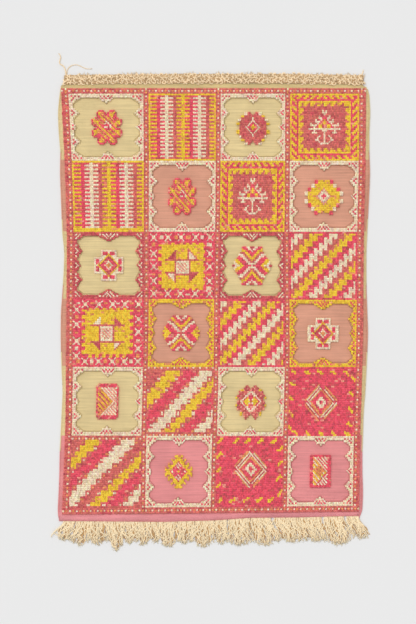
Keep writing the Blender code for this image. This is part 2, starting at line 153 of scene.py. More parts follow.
# Tablets: width of the rim, and share of the half size that a cut corner takes
TABLET_RIM, TABLET_BEVEL = 1.7, 0.3
ARROW_CORNER, ARROW_SLOPE, ARROW_EDGE = 0.12, 1.1, (2.6, 3.9)
GEM_CORNER, GEM_SLOPE, GEM_WEDGE, GEM_STONE = 0.10, 0.95, 4.0, (3.2, 3.4)

COMB_ROWS = ("YYYYYRRCCCCCCCCDDYYYYYYYYRRCCCCCCCCDDYYYY",
             "YRRRRRRRRRCCDDDDDDDDYYRRRRRRRRCCDDDDDDDDY")
COMB_CELLS = ((1, 2), (2, 1))

TREE = (
    "........C.C........",
    "........CCC........",
    ".........C.........",
    "......C..R..C......",
    "......CCRRRCC......",
    "....C..CRYRC..C....",
    "....CCCROYORCCC....",
    ".C...CRROYORRC...C.",
    ".CCCCRYYRRRYYRCCCC.",
    "...CRRYYRRRYYRRC...",
    "CCCCCCCCCCCCCCCCCCC",
    "...C....CCC....C...",
    "..CCC....C....CCC..",
    ".........C.........",
    "......C..C..C......",
    ".....C...C...C.....",
    "....CC...C...CC....",
    "......C..C..C......",
    ".......CCCCC.......",
)
TREE_CELLS = ((1, 4), (2, 3))
TREE_AT = (11, 9)

# Fields with a square, bars beside it and four wings, each with its yarn and its corners
STAR = ("C..C", ".CC.", ".CC.", "C..C")
FIELD_TEETH = (1.8, 1.6)
FRAME_DOT = (1.1, 0.8)
WING_FILL = (0.74, 0.28)
BAR_HALF = 0.55
PINWHEELS = {
    (3, 2): dict(
        stars=[(a, b) for b in (3.0, 34.5) for a in (3.3, 12.0, 20.5, 29.0, 37.5)]
        + [(a, b) for a in (3.3, 37.5) for b in (11.6, 19.3, 27.3)],
        dots=[(a, b) for b in (3.0, 34.5) for a in (8.1, 16.6, 24.5, 33.1)]
        + [(a, b) for a in (3.3, 37.5) for b in (6.8, 15.3, 23.3, 31.0)],
        field=(5.7, 5.7, 35.5, 32.4), teeth=4.3,
        square=(17.2, 15.9, 24.8, 22.6), bars=(10.2, 31.4),
        wings=((CRIMSON, ((16.9, 9.3), (16.9, 15.7), (10.6, 15.7))),
               (CREAM, ((24.4, 9.3), (24.4, 15.7), (31.0, 15.7))),
               (CREAM, ((10.4, 22.6), (17.0, 22.6), (17.0, 28.6))),
               (CRIMSON, ((31.2, 22.6), (24.8, 22.6), (25.2, 28.4)))),
    ),
    (4, 1): dict(
        stars=[(a, b) for b in (2.6, 34.3) for a in (7.0, 15.4, 22.8, 30.0, 38.0)]
        + [(2.3, b) for b in (6.3, 14.2, 22.8, 31.0)] + [(38.4, b) for b in (10.8, 18.4, 27.0)],
        dots=[(a, b) for b in (2.6, 34.3) for a in (3.0, 11.0, 18.9, 26.3, 33.8)]
        + [(2.3, b) for b in (10.1, 18.5, 27.2)] + [(38.4, b) for b in (6.6, 14.6, 22.7, 31.0)],
        field=(5.0, 4.7, 35.3, 31.6), teeth=3.95,
        square=(16.3, 14.9, 23.3, 23.1), bars=(9.6, 30.4),
        wings=((CREAM, ((16.0, 9.2), (16.0, 14.9), (10.8, 14.9))),
               (CRIMSON, ((23.6, 9.4), (23.6, 14.9), (29.5, 14.9))),
               (CRIMSON, ((10.8, 23.1), (16.0, 23.1), (16.0, 28.6))),
               (CREAM, ((29.4, 23.1), (23.6, 23.1), (23.6, 28.6)))),
    ),
}

# Zigzag bands: knots after which they repeat down a cell, and where they start
LIGHTNING = {(3, 4): (21.0, 13.0), (4, 3): (20.5, 10.0)}
ZIGZAG_PITCH = 3
ZIGZAG_WIDTH = 7.0

# Stepped diagonals: step across, first step and step down, the bands, the dots between them
STAIRS = {
    (5, 2): (3.13, 1.9, 3.08,
             ((11.3, DUSKY), (20.1, YELLOW), (22.5, DUSKY), (30.1, RED), (32.5, DUSKY), (40.2, CREAM),
              (42.8, DUSKY), (49.5, YELLOW), (52.2, DUSKY), (59.2, RED), (61.6, DUSKY), (68.0, CREAM)),
             (10.0, 21.3, 31.3, 41.5, 50.9, 60.4, 69.8)),
    (6, 1): (3.10, 1.85, 2.94,
             ((8.2, DUSKY), (15.7, YELLOW), (18.0, DUSKY), (26.1, RED), (28.6, DUSKY), (36.9, CREAM),
              (46.4, DUSKY), (52.6, YELLOW), (55.2, DUSKY), (61.9, RED), (64.9, DUSKY), (70.8, CREAM)),
             (6.6, 16.9, 27.4, 38.2, 44.9, 54.1, 63.4)),
}
STAIR_DOT = (0.75, 0.17)

# Mottled cells: middle, half size and cut corners of the diamond, and the dashes round it with their slant
MOTTLED = {
    (5, 4): dict(
        middle=(20.0, 18.9), half=(11.4, 11.8), cut=(9.7, 9.9), slant=1,
        dashes=((2.6, 2.6), (11.0, 3.0), (18.9, 2.8), (27.1, 3.0), (35.3, 3.1), (39.6, 6.0),
                (38.8, 14.2), (38.4, 22.9), (38.1, 30.8), (36.7, 35.8), (28.3, 35.6), (20.5, 35.6),
                (12.3, 35.6), (4.4, 35.2), (0.8, 32.3), (1.5, 25.0), (1.5, 16.8), (1.9, 9.0)),
    ),
    (6, 3): dict(
        middle=(21.2, 17.3), half=(12.0, 11.4), cut=(10.2, 9.7), slant=-1,
        dashes=((2.1, 2.5), (12.0, 2.4), (19.1, 2.6), (27.0, 2.8), (35.3, 2.8), (39.4, 6.9),
                (39.2, 14.4), (38.7, 22.0), (39.6, 29.8), (34.0, 33.3), (26.9, 33.3), (18.8, 33.3),
                (10.3, 33.6), (2.7, 33.7), (1.5, 25.8), (1.5, 17.8), (1.7, 10.0)),
    ),
}
DASH_REACH = (1.9, 1.4)
DASH_HALF = (0.85, 0.75)
DIAMOND_CORE = ((0.14, RED), (0.31, CREAM), (0.52, RED), (0.62, ORANGE))
DIAMOND_HATCHED_TO = 0.90
DIAMOND_GAP_FROM, DIAMOND_GAPS = 0.74, (1.1, 0.6)


def window_quarter(shape):
    """One quarter of a window's edge, in knots from the cell's middle, head side to right side."""
    half_width, half_height = CELL_COLUMNS / 2, CELL_ROWS / 2
    edge = shape["edge"]
    head_half, head_depth = shape["head"]
    side_half, side_depth = shape["side"]
    small_half, small_depth = shape["small"]
    corner_width, corner_height = shape["corner"]
    return [
        (0.0, half_height - head_depth),
        (head_half, half_height - edge),
        (half_width - corner_width, half_height - edge),
        (half_width - edge, half_height - corner_height),
        (half_width - edge, SIDE_TRIANGLE_AT + side_half),
        (half_width - side_depth, SIDE_TRIANGLE_AT),
        (half_width - edge, SIDE_TRIANGLE_AT - side_half),
        (half_width - edge, small_half),
        (half_width - small_depth, 0.0),
    ]


def window_outline(shape):
    """A whole window, in knots from the cell's middle."""
    quarter = window_quarter(WINDOW_SHAPES[shape])
    right = quarter + [(across, -up) for across, up in reversed(quarter[:-1])]
    return right + [(-across, up) for across, up in reversed(right[1:-1])]


def is_inside(outline, x, y):
    """Which of the points lie inside an outline."""
    inside = np.zeros(x.shape, dtype=bool)
    for (x1, y1), (x2, y2) in zip(outline, list(outline[1:]) + [outline[0]]):
        if y1 != y2:
            spans = (y1 > y) != (y2 > y)
            inside ^= spans & (x < x1 + (x2 - x1) * (y - y1) / (y2 - y1))
    return inside


def cell_grid():
    """Knots of one cell: column, row, and place from the middle, across and down."""
    b, a = np.mgrid[0:CELL_ROWS, 0:CELL_COLUMNS]
    return a, b, a + 0.5 - CELL_COLUMNS / 2, b + 0.5 - CELL_ROWS / 2


def lobed(x, y, lobes, reach, body):
    """How far out each knot is in a lobed figure, alike on both sides; below 1 it is inside."""
    far = [np.hypot((abs(x) - across) / reach[0], (y - down) / reach[1]) for across, down in lobes]
    return np.minimum(np.min(far, axis=0), np.hypot(x / body[0], y / body[1]))


def in_mirrored(half, x, y):
    """Which knots lie in an outline that is given down its right half."""
    return is_inside(list(half) + [(-across, down) for across, down in reversed(half)], x, y)


def pick(*choices):
    """The yarn of the first condition that holds; the last choice is the yarn left over."""
    *pairs, rest = choices
    return np.select([pair[0] for pair in pairs], [pair[1] for pair in pairs], rest)


def ringed(out, rings, rest):
    """The yarn of the first ring that each knot is not yet beyond, and the rest outside them all."""
    return pick(*[(out < limit, yarn) for limit, yarn in rings], rest)


def diamond_out(x, y, half):
    """How far out each knot is in a diamond; below 1 it is inside."""
    return abs(x) / half[0] + abs(y) / half[1]


def in_block(x, y, across, down, half_x, half_y):
    """Which knots lie in a block or in its mirror images about the middle."""
    return (abs(abs(x) - across) < half_x) & (abs(abs(y) - down) < half_y)


def spotted(yarn, inside, x, y, spots):
    """Put bright knots round a rosette, alike on both sides."""
    for across, down, colour in spots:
        near = (abs(abs(x) - across) < SPOT_HALF) & (abs(y - down) < SPOT_HALF)
        yarn, inside = np.where(near, colour, yarn), inside | near
    return inside, yarn


def interlace(a, b, x, y):
    """Plaited strands with eight yellow lobes in a red outline."""
    out = lobed(x, y, INTERLACE_LOBES, INTERLACE_LOBE, INTERLACE_BODY)
    core = np.hypot(x / INTERLACE_CORE[0], y / INTERLACE_CORE[1]) < 1
    heart = diamond_out(x, y + 0.6, INTERLACE_HEART)
    strand = (a - b) % 3
    yarn = pick((abs(x + 0.3) + abs(y) < 1.0, CREAM), (heart < 0.62, RED),
                ((heart < 1.05) & (x - y > 0), CREAM), (heart < 1.05, RED),
                ((out > 0.62) & ~core, RED), (core & (strand == 0), RED),
                ((strand == 1) | ((a + b) % 4 == 0), ORANGE), YELLOW)
    return out < 1, yarn


def dark_rosette(a, b, x, y):
    """Dusky rosette with cream and yellow tips."""
    diamond = diamond_out(x, y, DARK_DIAMOND)
    yarn = pick((diamond < 0.40, YELLOW), (diamond < 0.78, RED), ((diamond > 0.80) & (diamond < 1.08), CREAM),
                ((a + 2 * b) % 5 == 0, CRIMSON), DUSKY)
    return spotted(yarn, in_mirrored(DARK_ROSETTE, x, y), x, y, DARK_SPOTS)


def light_rosette(a, b, x, y):
    """Yellow rosette with red and cream tips."""
    speckled = np.where((a * 3 + b * 5) % 11 == 0, ORANGE, YELLOW)
    yarn = ringed(diamond_out(x, y, LIGHT_DIAMOND), LIGHT_RINGS, speckled)
    return spotted(yarn, in_mirrored(LIGHT_ROSETTE, x, y), x, y, LIGHT_SPOTS)


def diamond_rosette(a, b, x, y):
    """Crimson rosette with yellow tips round a diamond with two yellow eyes."""
    diamond = diamond_out(x, y, PETAL_DIAMOND)
    eyes = diamond_out(abs(x) - PETAL_EYES_AT, y, PETAL_EYE)
    stones = diamond_out(x, abs(y) - PETAL_STONES_AT, PETAL_STONE)
    speckled = pick(((a + 2 * b) % 4 == 0, PINK), ((a // 2 + b // 2) % 2 == 0, DUSKY), CRIMSON)
    yarn = pick(((abs(x) < 0.6) & (abs(y) < 0.6), DUSKY), (eyes < 1, YELLOW), (stones < 1, RED),
                ((diamond > 0.84) & (diamond < 1.08), CREAM), ((diamond < 0.84) & ((a - b) % 2 == 0), CREAM),
                (diamond < 0.84, RED), speckled)
    return spotted(yarn, in_mirrored(PETALS, x, y), x, y, PETAL_SPOTS)


def cross(a, b, x, y, size):
    """Cross with a yellow diamond ring and red blocks in its arms."""
    outer_x, outer_y = size[0] / 2, size[1] / 2
    inside = (abs(x) < outer_x) & (abs(y) < outer_y) & ((abs(x) < outer_x / 2) | (abs(y) < outer_y / 2))
    blocks = np.any([in_block(x, y, *block) for block in CROSS_BLOCKS], axis=0)
    return inside, ringed(diamond_out(x, y, CROSS_DIAMOND), CROSS_RINGS, np.where(blocks, RED, CREAM))


def faceted(a, b, x, y, size, outline=FACETED, ends=FACETED_ENDS, sides=FACETED_SIDES):
    """Figure quartered by a cream cross, with chevrons in each quarter."""
    half_x, half_y = size[0] / 2, size[1] / 2
    shape = [(across * half_x, -down * half_y) for across, down in outline]
    shape = shape + [(across, -down) for across, down in reversed(shape[:-1])]
    up = abs(y) - END_SLOPE * abs(x)
    out = abs(x) - SIDE_SLOPE * abs(y)
    side_yarn = np.where(up > -QUARTERING, CREAM, ringed(out, sides, CRIMSON))
    return in_mirrored(shape, x, y), np.where(up > 0, ringed(up, ends, CRIMSON), side_yarn)


def hearted(a, b, x, y, size):
    """Faceted figure with a yellow heart at either side."""
    inside, yarn = faceted(a, b, x, y, size, HEARTED, HEARTED_ENDS, HEARTED_SIDES)
    return inside, np.where(in_block(x, y, *HEARTED_MIDDLE), DUSKY, yarn)


def tablet(x, y, size, share):
    """Which knots lie in a tablet, and which of them are on its rim."""
    half_x, half_y = size[0] / 2, size[1] / 2
    corner = ((abs(x) - half_x * (1 - 2 * share)) / (half_x * 2 * share)
              + (abs(y) - half_y * (1 - share)) / (half_y * share))
    inside = (abs(x) < half_x) & (abs(y) < half_y) & (corner < 1.0)
    rim = (abs(x) > half_x - TABLET_RIM) | (abs(y) > half_y - TABLET_RIM) | (corner > TABLET_BEVEL)
    return inside, rim


def arrow_tablet(a, b, x, y, size):
    """Tablet with a hatched arrowhead pointing right."""
    inside, rim = tablet(x, y, size, ARROW_CORNER)
    arrow = x + ARROW_SLOPE * abs(y)
    edge_from, edge_to = ARROW_EDGE
    line = (a - b) % 3
    hatching = pick((line == 0, CRIMSON), (line == 1, YELLOW), ORANGE)
    beyond = np.where(np.where(y < 0, (a - b) % 2, (a + b) % 2) == 0, CREAM, PINK)
    yarn = pick((rim & ((a + b) % 6 == 0), PINK), (rim, RED),
                ((arrow > edge_from) & (arrow < edge_to), ORANGE), (arrow < edge_to, hatching), beyond)
    return inside, yarn


def gem_tablet(a, b, x, y, size):
    """Tablet with a yellow wedge and an orange stone."""
    inside, rim = tablet(x, y, size, GEM_CORNER)
    wedge = x + GEM_SLOPE * abs(y) < GEM_WEDGE
    stone = diamond_out(x + 0.4, y + 0.8, GEM_STONE) < 1
    line = (a - b) % 3
    hatching = pick((line == 0, CREAM), (line == 1, YELLOW), ORANGE)
    beyond = np.where((a - b) % 2 == 0, CREAM, RED)
    yarn = pick((rim, RED), (stone & ((a + 2 * b) % 4 == 0), CRIMSON), (stone, ORANGE), (wedge, hatching),
                beyond)
    return inside, yarn


def pronged_ring(a, b, x, y):
    """Yellow diamond ring with prongs round a red heart."""
    out = abs(x) + abs(y) * RING_HEIGHT
    beside = np.min([abs(abs(x) - abs(y) - line) for line in PRONG_LINES], axis=0)
    prong = (out >= PRONG_FROM) & (out < PRONG_TO) & (beside < PRONG_HALF)
    curl = in_block(x, y, *RING_CURL) & ((a + b) % 2 == 0)
    yarn = pick((prong | (out > RING_INSIDE), YELLOW), (curl | in_block(x, y, *RING_DOT), CREAM),
                (out < 0.9, YELLOW), ((a + 2 * b) % 5 == 0, PINK), RED)
    return (out < RING_OUTSIDE) | prong, yarn


# Each takes the column and row of every knot, its place from the middle and, for some, the motif's size
MOTIF_PAINTERS = {
    "interlace": interlace, "dark rosette": dark_rosette, "light rosette": light_rosette,
    "diamond rosette": diamond_rosette, "cross": cross, "faceted": faceted, "hearted": hearted,
    "arrow tablet": arrow_tablet, "gem tablet": gem_tablet, "pronged ring": pronged_ring,
}


def grown(mask):
    """A mask and the knots beside it."""
    wider = mask.copy()
    wider[1:] |= mask[:-1]
    wider[:-1] |= mask[1:]
    wider[:, 1:] |= mask[:, :-1]
    wider[:, :-1] |= mask[:, 1:]
    return wider


def shrunk(mask):
    """A mask without the knots on its edge."""
    return ~grown(~mask)


def centre_of(corners):
    """The middle of an outline's corners."""
    return tuple(sum(corner[k] for corner in corners) / len(corners) for k in range(2))


def window_lean(cell):
    """The way that the hatching of a window's border leans: 1 up to the right, -1 down to the right."""
    shape = WINDOW_SHAPES[WINDOW_CELLS[cell][0]]
    *_, x, y = cell_grid()
    head_zone = abs(x) < shape["head"][0] + 2
    from_side = abs(y) - SIDE_TRIANGLE_AT
    side_zone = (abs(y) < SIDE_TRIANGLE_AT + shape["side"][0] + 1) & (abs(x) > CELL_COLUMNS / 2 - 7)
    lean = pick((head_zone, -np.sign(x * y)), (side_zone & (abs(y) < shape["small"][0] + 1), -np.sign(x * y)),
                (side_zone, -np.sign(x * y * from_side)), np.sign(x * y))
    return np.where(window_cell(cell) == FLAT, 0, lean) * (np.hypot(x, y) > MOTIF_REACH)


def window_cell(cell):
    """A flat window with its border and motif."""
    shape, border, hatch, motif, *size = WINDOW_CELLS[cell]
    a, b, x, y = cell_grid()
    window = is_inside(window_outline(shape), x, y)
    margin = np.minimum(np.minimum(a, CELL_COLUMNS - 1 - a), np.minimum(b, CELL_ROWS - 1 - b))
    hatched = (margin >= 1) & ~grown(window) & ((a + b) % 2 == 0)
    yarn = pick((window, FLAT), (hatched, hatch), border)
    inside, motif_yarn = MOTIF_PAINTERS[motif](a, b, x, y, *size)
    return np.where(inside, motif_yarn, yarn)


def comb_cell(cell):
    """Upright combs with their teeth."""
    a, b, *_ = cell_grid()
    rows = np.array([[LETTERS[letter] for letter in row] for row in COMB_ROWS])
    yarn = rows[b % 2, a]
    return pick((b == 0, YELLOW), (b >= CELL_ROWS - (1 if cell == (1, 2) else 2), YELLOW), yarn)


def tree_cell(cell):
    """A little tree in a striped frame."""
    a, b, x, y = cell_grid()
    column_in = np.minimum(a, CELL_COLUMNS - 1 - a)
    row_in = np.minimum(b, CELL_ROWS - 1 - b)
    row_in = row_in + (row_in > 0)
    depth = np.minimum(column_in, row_in)
    on_side = column_in < row_in
    rising = np.where(on_side, x > 0, (y < 0) & (x < 0))
    stripe = np.where(rising, (a + b) % 4 < 2, (a - b) % 4 < 2)
    along = np.where(on_side, b, a)
    tooth = along % 4 < np.where(depth == 6, 3, 2)
    yarn = pick((depth == 0, YELLOW), ((depth < 4) & stripe, RED), (depth < 4, YELLOW), (depth == 4, RED),
                (depth == 5, YELLOW), ((depth < 8) & tooth, YELLOW), DUSKY)
    tree = np.array([[LETTERS[letter] for letter in row] for row in TREE])
    part = yarn[TREE_AT[1]:TREE_AT[1] + tree.shape[0], TREE_AT[0]:TREE_AT[0] + tree.shape[1]]
    part[tree > 0] = tree[tree > 0]
    return yarn


def pinwheel_cell(cell):
    """A yellow field with a square and four wings, in a frame of little stars."""
    plan = PINWHEELS[cell]
    a, b, *_ = cell_grid()
    yarn = np.full(a.shape, RED)
    star = np.array([[LETTERS[letter] for letter in row] for row in STAR])
    for column, row in plan["stars"]:
        left, top = int(round(column - 2)), int(round(row - 2))
        for k in range(4):
            for m in range(4):
                if star[m, k] and 0 <= top + m < CELL_ROWS and 0 <= left + k < CELL_COLUMNS:
                    yarn[top + m, left + k] = star[m, k]
    dot_x, dot_y = FRAME_DOT
    for index, (column, row) in enumerate(plan["dots"]):
        near = (abs(a + 0.5 - column) < dot_x) & (abs(b + 0.5 - row) < dot_y)
        yarn[near] = CREAM if index % 3 == 0 else ORANGE
    left, top, right, bottom = plan["field"]
    ca, cb = a + 0.5, b + 0.5
    deep_x, deep_y = FIELD_TEETH
    core = (ca > left + deep_x) & (ca < right - deep_x) & (cb > top + deep_y) & (cb < bottom - deep_y)
    whole = (ca > left) & (ca < right) & (cb > top) & (cb < bottom)
    beyond_side = (ca <= left + deep_x) | (ca >= right - deep_x)
    beyond_end = (cb <= top + deep_y) | (cb >= bottom - deep_y)
    pitch = plan["teeth"]
    tooth = np.where(beyond_side, (cb - top) % pitch < pitch / 2, (ca - left) % pitch < pitch / 2)
    tooth &= ~(beyond_side & beyond_end)
    yarn[core | (whole & tooth)] = YELLOW
    left, top, right, bottom = plan["square"]
    square = (ca > left) & (ca < right) & (cb > top) & (cb < bottom)
    for wing, corners in plan["wings"]:
        yarn[is_inside(corners, ca, cb)] = DUSKY
        elbow, centre, fill = corners[1], centre_of(corners), []
        for corner in corners:
            fill.append(tuple(elbow[k] + (corner[k] - elbow[k]) * WING_FILL[0]
                              + (centre[k] - elbow[k]) * WING_FILL[1] for k in range(2)))
        yarn[is_inside(fill, ca, cb)] = wing
    reach_left, reach_right = plan["bars"]
    beside = (abs(cb - top) < BAR_HALF) | (abs(cb - bottom) < BAR_HALF)
    yarn[beside & (ca > reach_left) & (ca < reach_right)] = DUSKY
    yarn[grown(square)] = DUSKY
    yarn[square] = np.where((a + b) % 2 == 0, CREAM, PINK)[square]
    yarn[square & (~shrunk(square))] = CREAM
    return yarn


def lightning_cell(cell):
    """Jagged bands, each with teeth three knots apart."""
    repeat, start = LIGHTNING[cell]
    a, b, *_ = cell_grid()
    phase = (b + ZIGZAG_PITCH * (a // ZIGZAG_PITCH) - start) % repeat
    join = a % ZIGZAG_PITCH == ZIGZAG_PITCH - 1
    first, half = np.where(join, 1.0, 0.0), repeat / 2
    second = np.where(join, ZIGZAG_WIDTH / 2, ZIGZAG_WIDTH)
    yarn = pick((phase < first, DUSKY), (phase < second, YELLOW), (phase < half + first, RED),
                (phase < half + second, CREAM), DUSKY)
    edge = (b == 0) | (b == CELL_ROWS - 1) | (a == 0) | (a == CELL_COLUMNS - 1)
    return np.where(edge, RED, yarn)


def stair_cell(cell):
    """Stepped diagonal bands with a dot in each notch."""
    step_across, first, step_down, bands, dots = STAIRS[cell]
    a, b, *_ = cell_grid()
    steps = (b + 0.5 - first) / step_down
    along = a + 0.5 + step_across * np.floor(steps)
    yarn = ringed(along, bands, DUSKY)
    middle_row = abs(steps % 1 - 0.5) < STAIR_DOT[1]
    for dot in dots:
        yarn = np.where((abs(along - dot) < STAIR_DOT[0]) & middle_row,
                        np.where(np.floor(steps) % 2 == 0, ORANGE, CREAM), yarn)
    dotted = pick((a % 2 == 1, DUSKY), (a % 4 == 0, CREAM), ORANGE)
    ends_dotted = cell == (5, 2)
    yarn = np.where((b < 2) | (b >= CELL_ROWS - (2 if ends_dotted else 1)), DUSKY, yarn)
    yarn = np.where(b == (0 if ends_dotted else 1), dotted, yarn)
    return np.where((b == CELL_ROWS - 1) & ends_dotted, dotted, yarn)


def mottled_cell(cell):
    """Plain red with slanted dashes round a diamond."""
    plan = MOTTLED[cell]
    a, b, *_ = cell_grid()
    ca, cb = a + 0.5, b + 0.5
    yarn = np.full(a.shape, RED)
    reach_x, reach_y = DASH_REACH
    long_half, wide_half = DASH_HALF
    for column, row in plan["dashes"]:
        aside, below = ca - column, (cb - row) * plan["slant"]
        along = (aside * reach_x + below * reach_y) / (reach_x ** 2 + reach_y ** 2)
        off = np.hypot(aside - along * reach_x, below - along * reach_y)
        yarn[(abs(along) < long_half) & (off < wide_half)] = YELLOW
    dx, dy = ca - plan["middle"][0], cb - plan["middle"][1]
    out = diamond_out(dx, dy, plan["half"])
    hatching = np.where((a + b) % 2 == 0, CREAM, CRIMSON)
    diamond = ringed(out, (*DIAMOND_CORE, (DIAMOND_HATCHED_TO, hatching)), ORANGE)
    gap_x, gap_y = DIAMOND_GAPS
    diamond[(out > DIAMOND_GAP_FROM) & ((abs(dx - 0.5) < gap_x) | (abs(dy) < gap_y))] = RED
    cut_x, cut_y = plan["cut"]
    return np.where((out < 1) & (abs(dx) < cut_x) & (abs(dy) < cut_y), diamond, yarn)


PAINTERS = ((WINDOW_CELLS, window_cell), (COMB_CELLS, comb_cell), (TREE_CELLS, tree_cell),
            (PINWHEELS, pinwheel_cell), (LIGHTNING, lightning_cell), (STAIRS, stair_cell),
            (MOTTLED, mottled_cell))


def paint_chart():
    """The yarn of every knot, row by row from the head, and the way that hatching leans."""
    chart = np.full((CHART_ROWS, CHART_COLUMNS), DUSKY)
    wanted = np.zeros(chart.shape)
    row, column = np.mgrid[0:CHART_ROWS, 0:CHART_COLUMNS]
    for dots in DOT_COLUMNS:
        on = (column == int(dots)) & (row % 2 == 0)
        chart = pick((on & (row % 4 == 0), CREAM), (on, ORANGE), chart)
    for dots in (1, CHART_ROWS - 2):
        on = (row == dots) & (column % 2 == 0)
        chart = pick((on & (column % 4 == 0), CREAM), (on, ORANGE), chart)
    for cell_row in range(1, CELLS_DOWN + 1):
        for cell_column in range(1, CELLS_ACROSS + 1):
            cell = (cell_row, cell_column)
            top = BAND_KNOTS + CELL_ROWS * (cell_row - 1)
            left = OUTER_BAND_KNOTS + CELL_STEP * (cell_column - 1)
            place = (slice(top, top + CELL_ROWS), slice(left, left + CELL_COLUMNS))
            for cells, paint in PAINTERS:
                if cell in cells:
                    chart[place] = paint(cell)
            if cell in WINDOW_CELLS:
                wanted[place] = window_lean(cell)
    return chart, wanted


def leaning(chart, wanted):
    """Knots whose like neighbours are only diagonal: 1 up to the right, -1 down to the right, else 0."""
    rows, columns = chart.shape
    wide = np.pad(chart, 1, constant_values=-1)

    def alike(down, right):
        return wide[1 + down:1 + down + rows, 1 + right:1 + right + columns] == chart

    rising = alike(-1, 1).astype(int) + alike(1, -1)
    falling = alike(-1, -1).astype(int) + alike(1, 1)
    alone = ~(alike(0, 1) | alike(0, -1) | alike(1, 0) | alike(-1, 0)) & (chart != FLAT)
    natural = np.where(rising > falling, 1, -1)
    return np.where(alone & (rising + falling > 0), np.where(wanted != 0, wanted, natural), 0)


def smooth_columns(points, at):
    """A smooth graph through (position, value) points, read at many places, straight past its ends."""
    places = np.array([p for p, _ in points])
    values = np.array([v for _, v in points])
    slopes = np.gradient(values, places)
    k = np.clip(np.searchsorted(places, at) - 1, 0, len(places) - 2)
    step = places[k + 1] - places[k]
    t = (at - places[k]) / step
    rise = values[k + 1] - values[k]
    inner = (values[k] + t * slopes[k] * step
             + t ** 2 * (3 * rise - 2 * slopes[k] * step - slopes[k + 1] * step)
             + t ** 3 * ((slopes[k] + slopes[k + 1]) * step - 2 * rise))
    return np.where((t < 0) | (t > 1), values[k] + rise * t, inner)


def chart_points(column, row):
    """Places on the rug of many points of the chart."""
    rows = [line[0] for line in CHART_LINES]
    dots = [smooth_columns([(line[0], line[3][k]) for line in CHART_LINES], row)
            for k in range(CELLS_ACROSS + 1)]
    places = np.array(DOT_COLUMNS)
    k = np.clip(np.searchsorted(places, column) - 1, 0, CELLS_ACROSS - 1)
    stack = np.stack(dots)
    low = np.take_along_axis(stack, k[None], 0)[0]
    high = np.take_along_axis(stack, k[None] + 1, 0)[0]
    x = low + (high - low) * (column - places[k]) / CELL_STEP
    left = line_values(rows, [line[1] for line in CHART_LINES], row)
    right = line_values(rows, [line[2] for line in CHART_LINES], row)
    share = (x - stack[0]) / (stack[-1] - stack[0])
    return x, left + (right - left) * share


def line_values(places, values, at):
    """A straight-line graph read at many places, carried on past its ends."""
    places, values = np.array(places, dtype=float), np.array(values, dtype=float)
    k = np.clip(np.searchsorted(places, at) - 1, 0, len(places) - 2)
    return values[k] + (values[k + 1] - values[k]) * (at - places[k]) / (places[k + 1] - places[k])


# Edges of the cloth, in metres
SELVAGES = (
    # y, x of the left edge, x of the right edge
    (0.872, -0.597, 0.606),
    (0.867, -0.599, 0.617),
    (0.857, -0.601, 0.626),
    (0.844, -0.603, 0.631),
    (0.764, -0.611, 0.636),
    (0.684, -0.608, 0.632),
    (0.604, -0.601, 0.632),
    (0.524, -0.603, 0.635),
    (0.444, -0.600, 0.632),
    (0.364, -0.597, 0.628),
    (0.284, -0.594, 0.624),
    (0.204, -0.585, 0.620),
    (0.124, -0.588, 0.620),
    (0.044, -0.593, 0.621),
    (-0.036, -0.599, 0.624),
    (-0.116, -0.600, 0.627),
    (-0.196, -0.599, 0.624),
    (-0.276, -0.596, 0.620),
    (-0.356, -0.592, 0.616),
    (-0.436, -0.596, 0.609),
    (-0.516, -0.600, 0.607),
    (-0.596, -0.604, 0.604),
    (-0.676, -0.605, 0.604),
    (-0.756, -0.608, 0.607),
    (-0.828, -0.612, 0.604),
    (-0.842, -0.611, 0.599),
    (-0.858, -0.609, 0.592),
)
HEAD_EDGE = (
    # x, y
    (-0.597, 0.872),
    (-0.444, 0.875),
    (-0.200, 0.877),
    (0.028, 0.878),
    (0.308, 0.877),
    (0.516, 0.874),
    (0.606, 0.872),
)
FOOT_EDGE = (
    # x, y
    (-0.592, -0.872),
    (-0.184, -0.875),
    (0.016, -0.869),
    (0.156, -0.859),
    (0.356, -0.857),
    (0.516, -0.853),
    (0.592, -0.852),
)
# Bands of the ground's colour along the rug, from the foot
GROUND_BANDS = (
    # y where the band ends towards the head, its colour
    (-0.832, "foot_ground"),
    (-0.531, "pink_ground"),
    (-0.2555, "olive_ground"),
    (0.015, "rose_ground"),
    (0.284, "olive_ground"),
    (0.568, "rose_ground"),
    (0.846, "olive_ground"),
    (1.100, "head_ground"),
)
RAMP_SCALE, RAMP_MIDDLE = 0.45, 0.5
CLOTH_GRID = (64, 92)
CLOTH_LEFT, CLOTH_WIDTH, CLOTH_ROUNDS = -0.6, 1.22, 3
CLOTH_SWELL = 0.00025

# Dark cords round the windows for the slit and the painted shadow where pile meets weave, and the selvages:
# radius, place of its middle, length from station to station
CONTOUR_RADIUS = 0.0012
# How much darker than the ground the contour cords are: painted shadow along the pile's edge
CONTOUR_PAINTED_SHADOW = 0.78
CONTOUR_INSET = 0.55
CONTOUR_RISE = 0.0006
CONTOUR_STEP = 0.007
SELVAGE_RADIUS = 0.0024
SELVAGE_HEIGHT = 0.0026
SELVAGE_INSET = 0.0012
SELVAGE_STEP = 0.012
SELVAGE_SPAN = (-0.858, 0.865)

# Knots: two yarn ends each, as a block that is wide at its top and leans towards the foot
KNOT_ENDS = (-0.25, 0.25)
KNOT_FOOT = 0.0036
KNOT_NECK = 0.72
KNOT_FILL = (1.06, 1.18)
KNOT_LEAN = 0.0016
KNOT_SLOPE = 0.0006
KNOT_TURN = 0.14
KNOT_ASIDE = 0.3
KNOT_SWAY = 0.0004
KNOT_RAGGEDNESS = 0.00022
# Lower half of each yarn end painted darker: painted shade deep in the pile
KNOT_BASE_PAINTED_SHADE = 0.84
YARN_DRIFT = (0.15, 0.5, 0.6)
SEED = 17

# Cords and loose fibres are tubes: sides, stations along them. The twist of each cord starts further on.
CORD = (5, 12)
FIBRE = (3, 6)
FIBRE_RADIUS = 0.0009
FIBRE_ROOT = 0.004
FIBRE_LOWEST = 0.0012
TWIST_OFFSET = 0.0137

